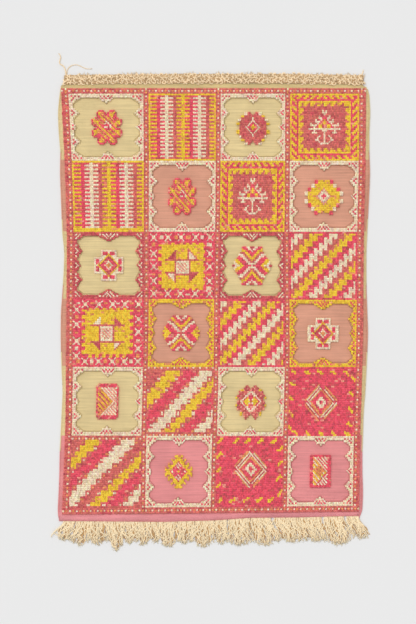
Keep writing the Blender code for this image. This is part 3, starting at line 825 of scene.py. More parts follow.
SUN_FROM = (-0.5, 0.55, 1.0)
FLOOR_HALF = 8.0
FLOOR_BELOW = -0.0002
CAMERA_OVER = (-0.012, -0.036)

# Long fringe: root, tip and reach of one stray strand, then locks of warp ends, a row for each lock
STRAY_END = (-0.588, -0.639, -0.936)
LOCKS = (
    # roots from x to x, tips from x to x, y that the longest strand reaches
    (-0.590, -0.543, -0.608, -0.560, -0.957),
    (-0.541, -0.486, -0.549, -0.494, -0.980),
    (-0.485, -0.414, -0.480, -0.420, -0.975),
    (-0.413, -0.356, -0.398, -0.358, -1.000),
    (-0.355, -0.300, -0.346, -0.303, -0.969),
    (-0.299, -0.244, -0.294, -0.247, -0.975),
    (-0.241, -0.212, -0.238, -0.211, -0.968),
    (-0.210, -0.136, -0.198, -0.142, -0.984),
    (-0.134, -0.066, -0.132, -0.079, -0.968),
    (-0.065, 0.012, -0.066, 0.006, -0.984),
    (0.014, 0.064, 0.024, 0.064, -0.974),
    (0.068, 0.156, 0.074, 0.160, -0.978),
    (0.159, 0.240, 0.172, 0.262, -0.978),
    (0.252, 0.348, 0.285, 0.374, -0.964),
    (0.349, 0.442, 0.382, 0.464, -0.960),
    (0.451, 0.531, 0.474, 0.544, -0.978),
    (0.541, 0.591, 0.562, 0.632, -0.948),
)
LOCK_LAYERS = (
    # share of the spacing that is set, spread of the tips, shorter by, raggedness, swing, tint; the lowest
    # layer's brown tint is painted shade under the layers above
    (0.75, 0.12, 0.008, 0.006, 0.003, (0.66, 0.50, 0.34)),
    (1.2, 0.22, 0.0, 0.004, 0.007, (1.0, 1.0, 1.0)),
    (1.5, 0.32, 0.0, 0.016, 0.010, (1.0, 1.0, 1.0)),
)
LOCK_SIDES = -0.952
LOCK_SHORTENING = 0.006
LAYER_HEIGHT = 0.0021
FRINGE_FLATNESS = 0.9
FRINGE_FRAY = (3, 0.0095)

# Knotted head: ropes along it with curls over them, five across the band, then tufts and loose yarns; the
# ropes are painted dark as shade under the curls
HEAD_SPAN = (-0.589, 0.612)
HEAD_KNOT_PITCH = 0.019
HEAD_CURLS = 5
HEAD_ROPES = (0.005, 0.0125, 0.020, 0.0275, 0.034)
ROPE_RADIUS, ROPE_HEIGHT, ROPE_STEP, ROPE_FLATNESS = 0.0042, 0.0035, 0.010, 0.8
# Brown tint of the ropes: painted shade under the curls
ROPE_PAINTED_SHADE_TINT = (1.0, 0.86, 0.70)
CURL_RADIUS, CURL_HEIGHT, CURL_SIZE, CURL_TURN = 0.0027, 0.0052, (0.0042, 0.0070), (3, 5)
CURLS_FROM, CURLS_ACROSS = 0.005, 0.029
TUFT_RADIUS, TUFT_HEIGHT, TUFT_LENGTH, TUFTS_FROM = 0.0019, 0.0055, (0.002, 0.007), 0.031
TUFTS_PER_CURL = 0.55
TUFT_FRAY = (2, 0.009)
HEAD_YARNS = (
    # radius, points that the yarn runs through
    (0.0022, ((-0.580, 0.905), (-0.584, 0.936), (-0.590, 0.948), (-0.606, 0.957), (-0.604, 0.971),
              (-0.601, 0.986), (-0.609, 0.998))),
    (0.0015, ((-0.577, 0.905), (-0.572, 0.938), (-0.558, 0.9495), (-0.528, 0.9505), (-0.512, 0.942),
              (-0.496, 0.936), (-0.475, 0.937))),
    (0.0024, ((0.603, 0.905), (0.607, 0.920), (0.609, 0.932))),
)


def srgb(red, green, blue):
    """A colour given in display values from 0 to 255, as linear values."""
    def linear(value):
        value /= 255
        return value / 12.92 if value <= 0.04045 else ((value + 0.055) / 1.055) ** 2.4
    return linear(red), linear(green), linear(blue)


def colour_setting(name, description, colour):
    """A colour that a user may change."""
    return bpy.props.FloatVectorProperty(name=name, description=description, subtype="COLOR", size=3,
                                         min=0.0, max=1.0, default=colour)


class PileSettings(bpy.types.PropertyGroup):
    """Sizes and yarns of the knotted pile."""
    height: bpy.props.FloatProperty(
        name="Pile height", description="Top of the pile above the floor", default=0.0098, min=0.005,
        max=0.02, unit="LENGTH")
    unevenness: bpy.props.FloatProperty(
        name="Unevenness", description="How far the knots stand off their places, as a share of a knot",
        default=0.10, min=0.0, max=0.5, subtype="FACTOR")
    shade_variation: bpy.props.FloatProperty(
        name="Shade variation", description="How much one yarn end differs from the next", default=0.20,
        min=0.0, max=0.5, subtype="FACTOR")
    dusky: colour_setting("Dusky", "Yarn of the bands and dark fields", srgb(224, 116, 108))
    red: colour_setting("Red", "Bright red yarn", srgb(243, 90, 109))
    crimson: colour_setting("Crimson", "Deep red yarn", srgb(212, 92, 98))
    yellow: colour_setting("Yellow", "Yellow yarn", srgb(252, 206, 64))
    orange: colour_setting("Orange", "Orange yarn", srgb(244, 161, 102))
    cream: colour_setting("Cream", "Undyed yarn", srgb(253, 226, 193))
    pink: colour_setting("Pink", "Light pink yarn", srgb(248, 156, 138))


class ClothSettings(bpy.types.PropertyGroup):
    """Sizes and colours of the flat weave."""
    thickness: bpy.props.FloatProperty(
        name="Thickness", description="Thickness of the flat weave", default=0.0038, min=0.001, max=0.01,
        unit="LENGTH")
    weft_pitch: bpy.props.FloatProperty(
        name="Weft pitch", description="From one weft to the next", default=0.0016, min=0.0005, max=0.01,
        unit="LENGTH")
    warp_pitch: bpy.props.FloatProperty(
        name="Warp pitch", description="From one warp to the next", default=0.0034, min=0.0005, max=0.01,
        unit="LENGTH")
    olive_ground: colour_setting("Olive ground", "Ground of the first, third and fifth rows",
                                 srgb(221, 199, 147))
    rose_ground: colour_setting("Rose ground", "Ground of the second and fourth rows", srgb(214, 155, 130))
    pink_ground: colour_setting("Pink ground", "Ground of the last row", srgb(224, 142, 142))
    foot_ground: colour_setting("Foot ground", "Weave below the last row", srgb(232, 149, 153))
    head_ground: colour_setting("Head ground", "Weave above the first row", srgb(213, 191, 137))


class FringeSettings(bpy.types.PropertyGroup):
    """Sizes and colour of the warp ends."""
    spacing: bpy.props.FloatProperty(
        name="Spacing", description="From one warp end to the next at the foot", default=0.0043, min=0.002,
        max=0.02, unit="LENGTH")
    radius: bpy.props.FloatProperty(
        name="Radius", description="Radius of a warp end", default=0.0023, min=0.0005, max=0.006,
        unit="LENGTH")
    twist_pitch: bpy.props.FloatProperty(
        name="Twist pitch", description="Length of one turn of the plied yarn", default=0.011, min=0.002,
        max=0.05, unit="LENGTH")
    yarn: colour_setting("Yarn", "Undyed warp", srgb(251, 230, 192))
    head_yarn: colour_setting("Head yarn", "Warp in the knotted head", srgb(249, 223, 184))


class StageSettings(bpy.types.PropertyGroup):
    """Floor, light and camera."""
    floor: colour_setting("Floor", "Plain floor", srgb(236, 236, 236))
    sky: bpy.props.FloatProperty(
        name="Sky", description="Even light from all round", default=0.71, min=0.0, max=5.0)
    key: bpy.props.FloatProperty(
        name="Window light", description="Strength of the soft light from one side", default=1.07, min=0.0,
        max=20.0)
    softness: bpy.props.FloatProperty(
        name="Softness", description="Width of the light from one side", default=0.7, min=0.0, max=3.0,
        subtype="ANGLE", unit="ROTATION")
    distance: bpy.props.FloatProperty(
        name="Camera height", description="Height of the camera above the floor", default=5.893, min=1.0,
        max=20.0, unit="LENGTH")
    lens: bpy.props.FloatProperty(
        name="Lens", description="Focal length in millimetres", default=85.0, min=20.0, max=200.0)


def edge_at(points, at, column=1):
    """A graph through rows of numbers, read at many places."""
    table = sorted(points)
    return line_values([row[0] for row in table], [row[column] for row in table], at)


def ground_at(y, settings):
    """The colour of the ground at many places along the rug."""
    band = np.searchsorted([end for end, _ in GROUND_BANDS[:-1]], y)
    return np.array([tuple(getattr(settings, name)) for _, name in GROUND_BANDS])[band]


def link(thing):
    """Put an object in the scene."""
    bpy.context.scene.collection.objects.link(thing)
    return thing


def in_order(bm):
    """Put faces in the order of their corners, which is the same each run."""
    bm.verts.index_update()

    def place(face):
        corners = [vert.index for vert in face.verts]
        return min(corners) * len(bm.verts) + max(corners)

    bm.faces.sort(key=place)


def mesh_of(bm, name):
    """Turn a bmesh into an object with its faces outwards."""
    bmesh.ops.recalc_face_normals(bm, faces=bm.faces)
    mesh = bpy.data.meshes.new(name)
    bm.to_mesh(mesh)
    bm.free()
    return link(bpy.data.objects.new(name, mesh))


def template_arrays(bm, uv_of_face):
    """Corners, faces and bake map of a small closed shape that is repeated."""
    bmesh.ops.recalc_face_normals(bm, faces=bm.faces)
    bm.verts.index_update()
    corners = np.array([vert.co[:] for vert in bm.verts])
    quads = [[vert.index for vert in face.verts] for face in bm.faces]
    flat_map = [place for face in bm.faces for place in uv_of_face(face)]
    bm.free()
    return corners, quads, np.array(flat_map)


def repeat_shapes(name, batches):
    """One mesh of many copies of small shapes: template, corners, colours and twist of each batch."""
    corners, faces, colours, strands, places, start = [], [], [], [], [], 0
    copies = sum(len(points) for _, points, _, _ in batches)
    side, number = math.ceil(math.sqrt(copies)), 0
    for (shape, quads, flat_map), points, paint, strand in batches:
        faces += [[index + first for index in quad]
                  for first in range(start, start + len(points) * len(shape), len(shape)) for quad in quads]
        start += len(points) * len(shape)
        corners.append(points.reshape(-1, 3))
        colours.append(np.broadcast_to(paint, points.shape).reshape(-1, 3))
        strands.append(strand.reshape(-1, 3))
        order = np.arange(number, number + len(points))
        patch = np.stack([order % side, order // side], axis=1)[:, None, :]
        places.append(((patch + 0.5 + 0.5 * flat_map[None, :, :]) / side).reshape(-1, 2))
        number += len(points)
    mesh = bpy.data.meshes.new(name)
    corners, colours = np.concatenate(corners), np.concatenate(colours)
    mesh.from_pydata(corners.tolist(), [], faces)
    mesh.shade_smooth()
    yarn = mesh.color_attributes.new("yarn", "FLOAT_COLOR", "POINT")
    opaque = np.hstack([colours, np.ones((len(colours), 1))])
    yarn.data.foreach_set("color", opaque.astype(np.float32).ravel())
    twist = mesh.attributes.new("strand", "FLOAT_VECTOR", "POINT")
    twist.data.foreach_set("vector", np.concatenate(strands).astype(np.float32).ravel())
    layer = mesh.uv_layers.new(name="OFBake")
    layer.uv.foreach_set("vector", np.concatenate(places).astype(np.float32).ravel())
    return link(bpy.data.objects.new(name, mesh))


def knot_template():
    """One yarn end of a knot: narrow below, wide above, from -1 to 1 across and 0 to 1 up."""
    bm = bmesh.new()
    bmesh.ops.create_cube(bm, size=2.0)
    for vert in bm.verts:
        vert.co.z = (vert.co.z + 1) / 2
        if vert.co.z < 0.5:
            vert.co.x *= KNOT_NECK
            vert.co.y *= KNOT_NECK

    def on_map(face):
        if face.normal.z < -0.9:
            return [(vert.co.x / KNOT_NECK * 0.9, 0.93 + 0.03 * vert.co.y / KNOT_NECK) for vert in face.verts]
        top, foot = 0.55, 0.88 / KNOT_NECK
        return [tuple(place * (top if vert.co.z > 0.5 else foot) for place in vert.co[:2])
                for vert in face.verts]

    return template_arrays(bm, on_map)


def cord_template(sides, stations):
    """A closed straight tube of radius 1 along Z from 0 to 1, in equal lengths."""
    bm = bmesh.new()
    ring = bmesh.ops.create_circle(bm, cap_ends=True, segments=sides, radius=1.0)
    face = ring["verts"][0].link_faces[0]
    for _ in range(stations - 1):
        face = bmesh.ops.extrude_discrete_faces(bm, faces=[face])["faces"][0]
        bmesh.ops.translate(bm, vec=(0.0, 0.0, 1.0 / (stations - 1)), verts=face.verts)
    bmesh.ops.holes_fill(bm, edges=[edge for edge in bm.edges if edge.is_boundary])
    bm.normal_update()

    def on_map(face):
        middle = face.calc_center_median()
        if abs(face.normal.z) > 0.9:
            end = -0.95 if middle.z < 0.5 else 0.95
            return [(vert.co.x * 0.8, end + 0.03 * vert.co.y) for vert in face.verts]
        turn = math.atan2(middle.y, middle.x)
        places = []
        for vert in face.verts:
            aside = math.remainder(math.atan2(vert.co.y, vert.co.x) - turn, 2 * math.pi)
            places.append(((turn + aside) / math.pi * 0.9, (2 * vert.co.z - 1) * 0.88))
        return places

    return template_arrays(bm, on_map)


def cords(kind, paths, radii, colours, flatness=1.0):
    """A batch of cords along paths; the radius is given at each station, the colour for each cord."""
    template = cord_template(*kind)
    corners = template[0]
    station = np.rint(corners[:, 2] * (kind[1] - 1)).astype(int)
    ahead = np.gradient(paths, axis=1)
    ahead /= np.maximum(np.linalg.norm(ahead, axis=2, keepdims=True), 1e-9)
    aside = np.cross(ahead, np.array([0.0, 0.0, 1.0]))
    aside /= np.maximum(np.linalg.norm(aside, axis=2, keepdims=True), 1e-9)
    upward = np.cross(aside, ahead)
    radii = np.broadcast_to(radii, paths.shape[:2])
    across = corners[None, :, 0, None] * radii[:, station, None]
    raised = corners[None, :, 1, None] * radii[:, station, None] * flatness
    points = paths[:, station] + aside[:, station] * across + upward[:, station] * raised
    points[:, :, 2] = np.maximum(points[:, :, 2], 0.0001)
    steps = np.linalg.norm(np.diff(paths, axis=1), axis=2).cumsum(axis=1)
    along = np.concatenate([np.zeros((len(paths), 1)), steps], axis=1)[:, station]
    along = along + TWIST_OFFSET * np.arange(len(paths))[:, None]
    strand = np.stack([np.broadcast_to(corners[:, 0], along.shape),
                       np.broadcast_to(corners[:, 1], along.shape), along], axis=2)
    return template, points, colours[:, None, :], strand


def strung(route, step):
    """A long route cut into cords that meet end to end."""
    route = np.array(route, dtype=float)
    steps = np.concatenate([[0], np.linalg.norm(np.diff(route, axis=0), axis=1).cumsum()])
    lengths = CORD[1] - 1
    pieces = max(1, round(steps[-1] / (step * lengths)))
    at = np.linspace(0, steps[-1], pieces * lengths + 1)
    points = np.stack([np.interp(at, steps, route[:, k]) for k in range(3)], axis=1)
    return np.stack([points[k * lengths:(k + 1) * lengths + 1] for k in range(pieces)])


class Wire:
    """A socket in shader maths: each operator adds a Math node."""

    def __init__(self, recipe, socket):
        self.recipe = recipe
        self.socket = socket

    def math(self, operation, first, second=0.0):
        node = self.recipe.node("ShaderNodeMath", {"operation": operation}, {0: first, 1: second})
        return Wire(self.recipe, node.outputs[0])

    def __add__(self, other):
        return self.math("ADD", self, other)

    def __sub__(self, other):
        return self.math("SUBTRACT", self, other)

    def __mul__(self, other):
        return self.math("MULTIPLY", self, other)

    def sine(self):
        return self.math("SINE", self)


class Recipe:
    """A material and the one way that nodes are added to it."""

    def __init__(self, name):
        self.material = bpy.data.materials.new(name)
        self.material.use_nodes = True
        self.tree = self.material.node_tree
        self.shader = self.tree.nodes["Principled BSDF"]

    def node(self, kind, settings=None, values=None):
        """Add a node: its settings first, then the values or links of its sockets."""
        node = self.tree.nodes.new(kind)
        for name, value in (settings or {}).items():
            setattr(node, name, value)
        for name, value in (values or {}).items():
            self.feed(node.inputs[name], value)
        return node

    def set_stops(self, ramp, stops):
        """Give a ramp its positions and colours."""
        while len(ramp.elements) < len(stops):
            ramp.elements.new(1.0)
        for element, (position, colour) in zip(ramp.elements, stops):
            element.position = position
            element.color = (*colour, 1.0)

    def feed(self, socket, value):
        """Set a socket, or link it."""
        if isinstance(value, Wire):
            value = value.socket
        if isinstance(value, bpy.types.NodeSocket):
            self.tree.links.new(value, socket)
        else:
            socket.default_value = value

    def out(self, node, name):
        """One output of a node, ready for maths."""
        return Wire(self, node.outputs[name])

    def noise(self, place, scale, detail=2.0, roughness=0.5):
        """Fractal noise at a place."""
        node = self.node("ShaderNodeTexNoise", {"noise_dimensions": "3D"},
                         {"Vector": place, "Scale": scale, "Detail": detail, "Roughness": roughness})
        return self.out(node, "Fac")

    def stretched(self, place, scale):
        """A place with its axes stretched."""
        return self.out(self.node("ShaderNodeMapping", {}, {"Vector": place, "Scale": scale}), "Vector")

    def shaded(self, colour, amount):
        """A colour made lighter or darker by a grey amount."""
        grey = self.node("ShaderNodeCombineColor", {"mode": "RGB"},
                         {"Red": amount, "Green": amount, "Blue": amount})
        mixed = self.node("ShaderNodeMix", {"data_type": "RGBA", "blend_type": "MULTIPLY"},
                          {"Factor": 1.0, 6: colour, 7: self.out(grey, "Color")})
        return Wire(self, mixed.outputs[2])

    def bumped(self, height, distance):
        """Raise the surface by a height."""
        bump = self.node("ShaderNodeBump", {}, {"Height": height, "Distance": distance, "Strength": 1.0})
        self.feed(self.shader.inputs["Normal"], self.out(bump, "Normal"))

    def wool(self, roughness, sheen):
        """The finish that all the yarns share."""
        self.shader.inputs["Roughness"].default_value = roughness
        self.shader.inputs["Sheen Weight"].default_value = sheen
        self.shader.inputs["Sheen Roughness"].default_value = 0.6
        self.shader.inputs["Specular IOR Level"].default_value = 0.15


def object_place(recipe):
    """Object coordinates of a material."""
    return recipe.out(recipe.node("ShaderNodeTexCoord"), "Object")


def knot_wool(name):
    """Wool of the pile: the yarn's own colour with the light and dark of its fibres."""
    recipe = Recipe(name)
    place = object_place(recipe)
    yarn = recipe.out(recipe.node("ShaderNodeAttribute", {"attribute_name": "yarn"}), "Color")
    fibres = recipe.noise(place, 900.0, 3.0, 0.65)
    wear = recipe.noise(place, 14.0, 2.0)
    recipe.feed(recipe.shader.inputs["Base Color"], recipe.shaded(yarn, fibres * 0.5 + 0.74 + wear * 0.18))
    recipe.bumped(fibres, 0.0008)
    recipe.wool(0.9, 0.12)
    return recipe.material


def flat_weave(settings):
    """Weft-faced plain weave, dyed in bands across the rug."""
    recipe = Recipe("flat weave")
    place = object_place(recipe)
    split = recipe.node("ShaderNodeSeparateXYZ", {}, {"Vector": place})
    x, y = recipe.out(split, "X"), recipe.out(split, "Y")
    drift = recipe.noise(recipe.stretched(place, (5.0, 60.0, 1.0)), 1.0, 2.0)
    level = (y + drift * 0.008 - 0.004) * RAMP_SCALE + RAMP_MIDDLE
    stops, start = [], 0.0
    for end, colour in GROUND_BANDS:
        stops.append((start, tuple(getattr(settings, colour))))
        start = end * RAMP_SCALE + RAMP_MIDDLE
    ramp = recipe.node("ShaderNodeValToRGB", {}, {"Fac": level})
    ramp.color_ramp.interpolation = "CONSTANT"
    recipe.set_stops(ramp.color_ramp, stops)
    streaks = recipe.noise(recipe.stretched(place, (5.0, 170.0, 1.0)), 1.0, 4.0, 0.65)
    cloud = recipe.noise(place, 9.0, 3.0)
    weft = (y * (2 * math.pi / settings.weft_pitch)).sine()
    warp = (x * (2 * math.pi / settings.warp_pitch)).sine()
    over = weft * warp
    amount = streaks * 0.8 + cloud * 0.5 + over * 0.05 + 0.52
    recipe.feed(recipe.shader.inputs["Base Color"], recipe.shaded(recipe.out(ramp, "Color"), amount))
    recipe.bumped(weft * 0.5 + over * 0.5 + streaks * 1.5, 0.0004)
    recipe.wool(0.88, 0.08)
    return recipe.material


def plied_yarn(name, settings):
    """Undyed yarn plied from two strands, for cords."""
    recipe = Recipe(name)
    place = object_place(recipe)
    yarn = recipe.out(recipe.node("ShaderNodeAttribute", {"attribute_name": "yarn"}), "Color")
    strand = recipe.node("ShaderNodeAttribute", {"attribute_name": "strand"})
    split = recipe.node("ShaderNodeSeparateXYZ", {}, {"Vector": strand.outputs["Vector"]})
    across, raised, along = (recipe.out(split, axis) for axis in "XYZ")
    turn = along * (2 * math.pi / settings.twist_pitch)
    ply = turn.sine() * across + (turn + math.pi / 2).sine() * raised
    fibres = recipe.noise(place, 700.0, 3.0, 0.65)
    # The ply's twist also lightens and darkens the colour: painted light and shade on the turns of the
    # strands
    recipe.feed(recipe.shader.inputs["Base Color"], recipe.shaded(yarn, ply * 0.08 + fibres * 0.3 + 0.96))
    recipe.bumped(ply + fibres * 0.8, 0.0006)
    recipe.wool(0.85, 0.1)
    return recipe.material


def wear_material(thing, material):
    """Give a piece its one material."""
    thing.data.materials.clear()
    thing.data.materials.append(material)


def cloth_point(across, along):
    """A point of the cloth from shares of its width and length: a first guess, put right round by round."""
    x = CLOTH_LEFT + CLOTH_WIDTH * across
    for _ in range(CLOTH_ROUNDS):
        low, high = edge_at(FOOT_EDGE, x), edge_at(HEAD_EDGE, x)
        y = low + (high - low) * along
        left, right = edge_at(SELVAGES, y, 1), edge_at(SELVAGES, y, 2)
        x = left + (right - left) * across
    return x, y


def make_cloth(settings):
    """The flat weave from edge to edge, which also carries the pile."""
    bm = bmesh.new()
    bmesh.ops.create_grid(bm, x_segments=CLOTH_GRID[0], y_segments=CLOTH_GRID[1], size=0.5)
    verts = list(bm.verts)
    shares = np.array([vert.co[:2] for vert in verts]) + 0.5
    x, y = cloth_point(shares[:, 0], shares[:, 1])
    swell = CLOTH_SWELL * (np.sin(x * 41 + 2 * np.sin(y * 13)) + np.sin(y * 57 + 3 * np.sin(x * 9)))
    for vert, place in zip(verts, zip(x.tolist(), y.tolist(), (settings.thickness + swell).tolist())):
        vert.co = place
    raised = bmesh.ops.extrude_face_region(bm, geom=list(bm.faces))
    for vert in raised["geom"]:
        if isinstance(vert, bmesh.types.BMVert):
            vert.co.z = 0.0
    in_order(bm)
    cloth = mesh_of(bm, "cloth")
    cloth.data.shade_smooth()
    wear_material(cloth, flat_weave(settings))
    return cloth


def make_edging(settings):
    """Dark cords round each window, for the slit and the painted shadow at the pile's edge, and the rounded
    selvages.
    """
    paths = []
    for cell, (shape, *_) in WINDOW_CELLS.items():
        outline = np.array(window_outline(shape))
        outline = np.concatenate([outline, outline[:1]])
        outline -= np.sign(outline) * CONTOUR_INSET
        column = OUTER_BAND_KNOTS + CELL_STEP * (cell[1] - 1) + CELL_COLUMNS / 2 + outline[:, 0]
        row = BAND_KNOTS + CELL_ROWS * (cell[0] - 1) + CELL_ROWS / 2 - outline[:, 1]
        x, y = chart_points(column, row)
        z = np.full(x.shape, settings.thickness + CONTOUR_RISE)
        paths.append(strung(np.stack([x, y, z], axis=1), CONTOUR_STEP))
    contours = np.concatenate(paths)
    y = np.linspace(*SELVAGE_SPAN, 60)
    sides = []
    for column, inwards in ((1, SELVAGE_INSET), (2, -SELVAGE_INSET)):
        x = edge_at(SELVAGES, y, column) + inwards
        sides.append(strung(np.stack([x, y, np.full(x.shape, SELVAGE_HEIGHT)], axis=1), SELVAGE_STEP))
    selvages = np.concatenate(sides)
    # The contour cords take the ground's colour made darker: painted shadow at the pile's edge
    batches = [cords(CORD, contours, CONTOUR_RADIUS,
                     ground_at(contours[:, :, 1].mean(axis=1), settings) * CONTOUR_PAINTED_SHADOW),
               cords(CORD, selvages, SELVAGE_RADIUS, ground_at(selvages[:, :, 1].mean(axis=1), settings))]
    edging = repeat_shapes("edging", batches)
    wear_material(edging, knot_wool("edging yarn"))
    return edging


def knot_grid():
    """Middle of every knot's place on the rug, and the way across it and up it."""
    row, column = np.mgrid[0:CHART_ROWS + 1, 0:CHART_COLUMNS + 1].astype(float)
    x, y = chart_points(column, row)
    grid = np.stack([x, y], axis=2)
    middle = (grid[:-1, :-1] + grid[1:, :-1] + grid[:-1, 1:] + grid[1:, 1:]) / 4
    across = (grid[:-1, 1:] + grid[1:, 1:] - grid[:-1, :-1] - grid[1:, :-1]) / 2
    up = (grid[:-1, :-1] + grid[:-1, 1:] - grid[1:, :-1] - grid[1:, 1:]) / 2
    return middle, across, up


def mottled(chart, noise):
    """Swap some knots of the plain fields for neighbouring shades, in short runs."""
    runs = np.repeat(noise.random((CHART_ROWS, CHART_COLUMNS // 2 + 1)), 2, axis=1)[:, :CHART_COLUMNS]
    return pick(((chart == RED) & (runs < 0.13), CRIMSON), ((chart == RED) & (runs > 0.95), PINK),
                ((chart == CRIMSON) & (runs > 0.82), DUSKY), ((chart == DUSKY) & (runs > 0.90), CRIMSON),
                ((chart == YELLOW) & (runs < 0.08), ORANGE), chart)


def make_pile_row(cell_row, chart, lean, grid, yarns, settings, noise):
    """All the knots of one row of cells, with the dotted bands beside it."""
    top = 0 if cell_row == 1 else BAND_KNOTS + CELL_ROWS * (cell_row - 1)
    bottom = CHART_ROWS if cell_row == CELLS_DOWN else BAND_KNOTS + CELL_ROWS * cell_row
    rows, columns = np.nonzero(chart[top:bottom])
    rows = rows + top
    middle, across, up = (part[rows, columns] for part in grid)
    slant = lean[rows, columns][:, None]
    along = np.where(slant == 0, up, slant * across + up)
    across = np.where(slant == 0, across, (across - slant * up) / 2)
    count, yarn = len(rows), chart[rows, columns]
    template = knot_template()
    corners = template[0]
    lift = corners[None, :, 2]
    wide = np.linalg.norm(across, axis=1, keepdims=True)
    long = np.linalg.norm(along, axis=1, keepdims=True)
    sideways, forwards = across / wide, along / long
    uneven, varied = settings.unevenness, settings.shade_variation
    lobes, paints = [], []
    knot_shade = 1 + varied * noise.uniform(-1, 1, count)
    for share in KNOT_ENDS:
        turn = noise.normal(0, KNOT_TURN, (count, 1))
        size = 1 + uneven * noise.uniform(-1, 1, (2, count, 1))
        place = middle + across * (share + KNOT_ASIDE * uneven * noise.uniform(-1, 1, (count, 1)))
        place = place + along * uneven * noise.uniform(-1, 1, (count, 1))
        u = corners[None, :, 0] * wide / 4 * KNOT_FILL[0] * size[0]
        v = corners[None, :, 1] * long / 2 * KNOT_FILL[1] * size[1]
        u, v = u * np.cos(turn) - v * np.sin(turn), u * np.sin(turn) + v * np.cos(turn)
        leant = KNOT_LEAN * (1 + noise.uniform(-0.5, 0.5, (count, 1)))
        x = place[:, 0:1] + u * sideways[:, 0:1] + v * forwards[:, 0:1]
        x = x + lift * noise.normal(0, KNOT_SWAY, (count, 1))
        y = place[:, 1:2] + u * sideways[:, 1:2] + v * forwards[:, 1:2] + (0.5 - lift) * leant
        height = settings.height + noise.normal(0, KNOT_RAGGEDNESS, (count, 1))
        z = KNOT_FOOT + lift * (height - KNOT_FOOT + KNOT_SLOPE * (corners[None, :, 1] - 1) / 2)
        lobes.append(np.stack([x, y, z], axis=2))
        shade = knot_shade * (1 + 0.5 * varied * noise.uniform(-1, 1, count))
        tint = 1 + varied * noise.uniform(-1, 1, (count, 1, 3)) * YARN_DRIFT
        # Each yarn end is painted darker below half its height: painted shade between the knots
        paints.append(yarns[yarn][:, None, :] * shade[:, None, None] * tint
                      * np.where(lift > 0.5, 1.0, KNOT_BASE_PAINTED_SHADE)[:, :, None])
    points, paint = np.concatenate(lobes), np.clip(np.concatenate(paints), 0.0, 1.0)
    return repeat_shapes("pile_row_%d" % cell_row, [(template, points, paint, np.zeros(points.shape))])


def make_pile(settings):
    """Six pieces of pile, one for each row of cells."""
    noise = np.random.default_rng(SEED)
    chart, wanted = paint_chart()
    lean = leaning(chart, wanted)
    chart = mottled(chart, noise)
    yarns = np.array([(0.0, 0.0, 0.0)] + [tuple(getattr(settings, name)) for name in
                                          ("dusky", "red", "crimson", "yellow", "orange", "cream", "pink")])
    grid = knot_grid()
    wool = knot_wool("knot wool")
    pieces = []
    for cell_row in range(1, CELLS_DOWN + 1):
        pile = make_pile_row(cell_row, chart, lean, grid, yarns, settings, noise)
        wear_material(pile, wool)
        pieces.append(pile)
    return pieces


def wandering(noise, count, stations, size):
    """Smooth sideways swings along cords, a row for each cord."""
    t = np.linspace(0, 1, stations)[None, :]
    swing = np.zeros((count, stations))
    for waves in (1, 2, 3):
        phase = noise.uniform(0, 2 * math.pi, (count, 1))
        wave = np.sin(2 * math.pi * waves * t + phase) - np.sin(phase)
        swing += noise.normal(0, size / waves, (count, 1)) * wave
    return swing


def frayed(noise, paths, colours, strands, reach):
    """Loose fibres that fan out of the ends of cords."""
    t = np.linspace(0, 1, FIBRE[1])[None, :]
    tips = np.repeat(paths[:, -1], strands, axis=0)
    ahead = np.repeat(paths[:, -1] - paths[:, -3], strands, axis=0)
    ahead /= np.linalg.norm(ahead, axis=1, keepdims=True)
    count = len(tips)
    turn = noise.normal(0, 0.5, (count, 1)) + noise.normal(0, 0.5, (count, 1)) * t
    long = reach * noise.uniform(0.4, 1.2, (count, 1)) / (FIBRE[1] - 1)
    step_x = (ahead[:, 0:1] * np.cos(turn) - ahead[:, 1:2] * np.sin(turn)) * long
    step_y = (ahead[:, 0:1] * np.sin(turn) + ahead[:, 1:2] * np.cos(turn)) * long
    x = tips[:, 0:1] - ahead[:, 0:1] * FIBRE_ROOT + np.cumsum(step_x, axis=1)
    y = tips[:, 1:2] - ahead[:, 1:2] * FIBRE_ROOT + np.cumsum(step_y, axis=1)
    thinner = 1 - 0.6 * t
    z = np.maximum(tips[:, 2:3] * thinner, FIBRE_LOWEST)
    return cords(FIBRE, np.stack([x, y, z], axis=2), FIBRE_RADIUS * thinner,
                 np.repeat(colours, strands, axis=0))


